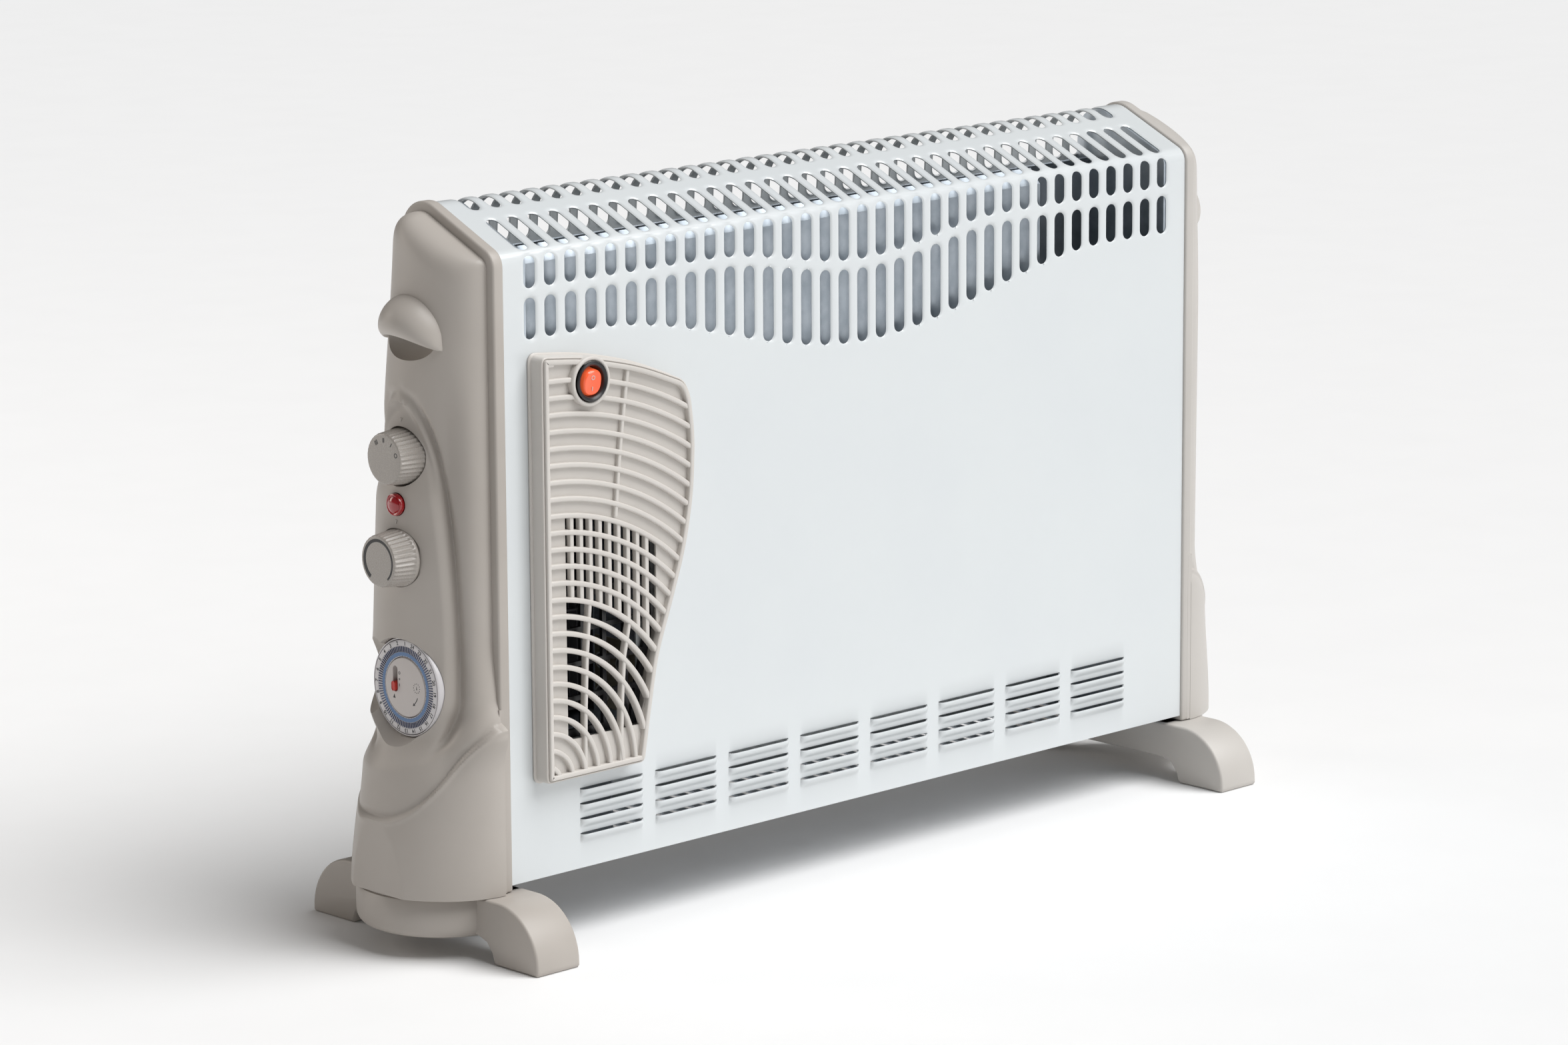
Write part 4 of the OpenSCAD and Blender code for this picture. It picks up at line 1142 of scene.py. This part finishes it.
def rocker():
    bezel = build("rocker_surround", [ring_y(
        [(-60, 10.8), (-66.9, 10.8), (-66.9, 11.4), (-67.4, 11.6), (-68, 11.3), (-68.3, 10.6), (-67.9, 9.6),
         (-66.9, 9.0), (-65.8, 8.7), (-60, 8.5)], *ROCKER)])
    piece(bezel, "black_plastic", nodes=["rocker_bezel"])

    def squared(t):
        return math.copysign(abs(t) ** 0.8, t)

    def oval(w, h):
        return shifted([(w * squared(c), h * squared(s)) for c, s in circle((0, 0), 1, 64)], *ROCKER)

    levels = [(-60, 6.9, 7.6), (-66.6, 6.9, 7.6), (-67.6, 6.5, 7.2), (-68.1, 5.8, 6.5), (-67.9, 4.4, 5.2),
              (-67.6, 2.4, 3.0), (-67.5, 0.6, 0.8)]
    button = loft([[(x, y, z) for x, z in oval(w, h)] for y, w, h in levels])
    face = build("rocker_cap", [tilted(button)])
    piece(face, "rocker_red", "rocker", ["rocker_button"])
    ring_section = [(-67.5, 1.35), (-67.86, 1.35), (-67.86, 0.95), (-67.5, 0.95)]
    ring = ring_y(ring_section, ROCKER[0], ROCKER[1] + 3.2, 32)
    dash = shifted([(-0.22, -4.6), (0.22, -4.6), (0.22, -2.2), (-0.22, -2.2)], *ROCKER)
    marks = [ring, prism(dash, along_y, -67.98, -67.5)]
    piece(build("rocker_marks", [tilted(m) for m in marks]), "dial_white", "rocker")


# ---------- knobs, lens and timer ----------

INK_T = 0.07
KNOB_RIBS = 36
BAND_RADIUS = 12.9
SEGMENT_N = 96


def lettering(text, size, place, bold=0.0):
    """Raised characters; place turns a point on their plane and its height into a point in space."""
    curve = bpy.data.curves.new("lettering", "FONT")
    curve.body = text
    curve.size = size
    curve.align_x = "CENTER"
    curve.align_y = "CENTER"
    curve.extrude = INK_T / 2
    curve.offset = bold
    data = curve_mesh(curve)
    verts = [place(*v.co) for v in data.vertices]
    return verts, [tuple(p.vertices) for p in data.polygons]


def clock_spot(x, z, radius, turn, out=0.0):
    """Places characters round an axis along X, tops outwards, turned clockwise from the top."""
    c = math.cos(math.radians(turn))
    s = math.sin(math.radians(turn))
    return lambda u, v, w: (x - out - w, CONTROL_Y - (radius + v) * s - u * c, z + (radius + v) * c - u * s)


def upright_spot(x, y, z):
    """Places characters upright on a face that looks towards -X."""
    return lambda u, v, w: (x - w, y - u, z + v)


def knob(name, marks):
    z, base, face = KNOBS[name]
    collar = base - 2.8
    # The grip's section as (x, radius, depth of its scallops).
    profile = [(base, 13.5, 0), (base, 16.6, 0), (base - 0.6, 16.85, 0), (base - 2.2, 16.8, 0),
               (collar, 16.6, 0.6)]
    profile += [(collar + (face + 1.5 - collar) * k / 8, 16.6 - 1.5 * k / 8, 0.75) for k in range(1, 9)]
    profile += [(face + 0.9, 14.85, 0.5), (face + 0.35, 14.6, 0.12), (face + 0.08, 14.2, 0)]
    profile += [(face, r, 0) for r in (13.6, 7, 0.5)]

    def scallop(a, row):
        return profile[row][2] * (0.5 + 0.5 * math.cos(KNOB_RIBS * a)) ** 0.7

    grip = turned_x([(x, r) for x, r, _ in profile], CONTROL_Y, z, KNOB_RIBS * 10, scallop)
    body = build(name + "_grip", [grip])
    piece(body, "knob_plastic", name, [name + "_knob"], corner=50)
    piece(build(name + "_marks", marks(face, z)), "black_plastic", name)


def selector_marks(face, z):
    """The four switch positions near the rim; the second stage is at the top."""
    return [lettering(text, 3.7, clock_spot(face, z, 10.7, turn, INK_T / 2), 0.07)
            for text, turn in (("III", -36), ("II", 0), ("I", 36), ("O", 72))]


def thermostat_marks(face, z):
    """A band near the rim that grows from its thin cold end to its thick warm end."""
    rings = []
    steps = 96
    for k in range(steps + 1):
        a = math.radians(140 - 285 * k / steps)
        far = BAND_RADIUS
        near = far - 1.1 - 1.3 * k / steps
        rings.append([(x, CONTROL_Y - r * math.sin(a), z + r * math.cos(a)) for r, x in
                      ((far, face), (near, face), (near, face - INK_T), (far, face - INK_T))])
    return [loft(rings)]


def pointers():
    """Small marks on the cap above the two knobs."""
    marks = []
    for z, _, _ in KNOBS.values():
        x = -(body_x(CONTROL_Y, z + 21, True) + relief(CONTROL_Y, z + 21, True))
        outline = shifted([(-0.9, 22), (0, 19.6), (0.9, 22)], CONTROL_Y, z)
        marks.append(prism(outline, along_x, x + 2.5, x - 0.3))
    piece(build("knob_pointers", marks), "knob_plastic")


def lens():
    rise = [(-312, 5.9), (-322.5, 5.9), (-322.9, 6.4), (-324.6, 6.4), (-325.2, 6.2), (-325.4, 5.7),
            (-325.2, 5.2), (-324.9, 0.5)]
    piece(build("lens_surround", [turned_x(rise, CONTROL_Y, LENS_Z, 64)]), "red_lens",
          nodes=["indicator_lens"])
    dome = [(-324.6, 5.1)] + [(-324.8 - 1.8 * math.sin(a), 5.1 * math.cos(a))
                              for a in [math.radians(11 * k) for k in range(1, 9)]]
    piece(build("lens_dome", [turned_x(dome, CONTROL_Y, LENS_Z, 64)]), "red_lens", corner=60)


def spoke(corners, a, z):
    """An outline of (radius, across) laid out at an angle a about the controls' axis at a height."""
    c = math.cos(a)
    s = math.sin(a)
    return [(CONTROL_Y + r * c - w * s, z + r * s + w * c) for r, w in corners]


def timer():
    z = TIMER_Z
    well = [(-300, 28.9)]
    well += shifted([(1.2, 28.9), (0.3, 28.6), (-0.1, 28.2), (0, 27.8), (5, 27.75), (5, 0.5)], DIAL_X)
    # The case takes the ring's white look instead of the knob plastic of its slot. This is a painted
    # highlight for the glossy crescent that shows at its right.
    housing = build("timer_case", [turned_x(well, CONTROL_Y, z, 128)])
    piece(housing, "knob_plastic", nodes=["timer_housing"], look="ring_white")

    section = [(4, 17.7), (4, 27.2), (0.4, 27.4), (-0.1, 27.2), (-0.3, 26.7), (-0.3, 24.2), (-0.1, 24.0),
               (-0.1, 20.6), (-0.3, 20.4), (-0.3, 17.9), (0, 17.7)]
    dial = ring_x(shifted(section, DIAL_X), CONTROL_Y, z, 192)
    piece(build("timer_ring", [dial]), "dial_white", "timer_wheel", ["timer_dial"], look="ring_white")

    tooth = [(20.6, -0.24), (23.7, -0.32), (23.7, 0.32), (20.6, 0.24)]
    teeth = [prism(spoke(tooth, 2 * math.pi * k / SEGMENT_N, z), along_x, DIAL_X + 2, DIAL_X - 0.5)
             for k in range(SEGMENT_N)]
    stripe = [(-0.2, 18.1), (-0.36, 18.15), (-0.36, 20.35), (-0.2, 20.4)]
    band = ring_x(shifted(stripe, DIAL_X), CONTROL_Y, z, 128)
    piece(build("timer_teeth", teeth), "segment_blue", "timer_wheel", ["timer_segments"])
    piece(build("timer_band", [band]), "segment_blue", "timer_wheel", look="band_blue")

    ink = []
    for hour in range(1, 25):
        spot = clock_spot(DIAL_X - 0.3, z, 25.4, 15 * (19 - hour) + 90, INK_T / 2)
        ink.append(lettering(str(hour), 3.1, spot, 0.07))
    tick = [(17.9, -0.1), (18.5, -0.1), (18.5, 0.1), (17.9, 0.1)]
    ink += [prism(spoke(tick, math.radians(7.5 * k), z), along_x, DIAL_X - 0.25, DIAL_X - 0.38)
            for k in range(48)]
    piece(build("timer_numbers", ink), "black_plastic", "timer_wheel")
    timer_middle(z)


def timer_middle(z):
    """The fixed face with its slot and marks, and the slider."""
    slot_y = CONTROL_Y + 8.5
    post = [(-310, 17.3)]
    post += shifted([(0.6, 17.3), (-0.2, 17.2), (-0.6, 16.9), (-0.7, 16.4), (-0.7, 0.5)], DIAL_X)
    face = build("timer_plate", [turned_x(post, CONTROL_Y, z, 96)])
    pill = arc((slot_y, z + 9.4), 2.0, 0, 180, 12) + arc((slot_y, z - 1.8), 2.0, 180, 360, 12)
    carve(face, [prism(pill, along_x, DIAL_X - 3, DIAL_X + 3)])
    piece(face, "dial_white", nodes=["timer_face"])
    floor = build("timer_slot", [prism(inset(pill, 0.05), along_x, DIAL_X + 3, DIAL_X + 2.2)])
    piece(floor, "zinc_steel")
    grip = arc((slot_y, z + 1.2), 1.45, 0, 180, 8) + arc((slot_y, z - 1.6), 1.45, 180, 360, 8)
    piece(build("timer_grip", [prism(grip, along_x, DIAL_X + 2, DIAL_X - 2.2, 0.35)]), "slider_red",
          "timer_switch", ["timer_slider"])

    # The set mark, a clock of dots with its hand, and the arrow that shows which way the dial turns.
    x = DIAL_X - 0.72
    outlines = [[(9.6, -5.2), (10.6, -7.6), (8.6, -7.6)]]
    for k in range(12):
        a = math.pi * k / 6
        outlines.append(circle((-10.2 + 2.7 * math.cos(a), 1.0 + 2.7 * math.sin(a)), 0.28, 8))
    outlines.append([(-10.5, 0.1), (-9.8, 0.1), (-10.1, 2.3)])
    outlines.append(arc((0, 0), 12.0, 203, 228, 10) + arc((0, 0), 11.5, 228, 203, 10))
    tip = math.radians(236)
    heel = math.radians(227)
    arrow = ((11.75, tip), (10.8, heel), (12.7, heel))
    outlines.append([(r * math.cos(a), r * math.sin(a)) for r, a in arrow])
    marks = [prism(shifted(outline, CONTROL_Y, z), along_x, x, x - INK_T) for outline in outlines]
    for text, high in (("O", 7.6), ("o", 4.2), ("I", 0.6)):
        marks.append(lettering(text, 2.3, upright_spot(x - INK_T / 2, CONTROL_Y + 4.8, z + high), 0.04))
    piece(build("timer_marks", marks), "black_plastic")


# ---------- the scene ----------

bpy.context.scene.view_settings.view_transform = "Standard"
add_camera()
add_studio()
add_floor()
dress_nodes()
casing()
end_cap("left_cap", -1, "left_end_cap", True)
end_cap("right_cap", 1, "right_end_cap", False)
foot("left_foot_moulding", -1, "left_foot")
foot("right_foot_moulding", 1, "right_foot")
fan_cover()
rocker()
knob("selector", selector_marks)
knob("thermostat", thermostat_marks)
pointers()
lens()
timer()
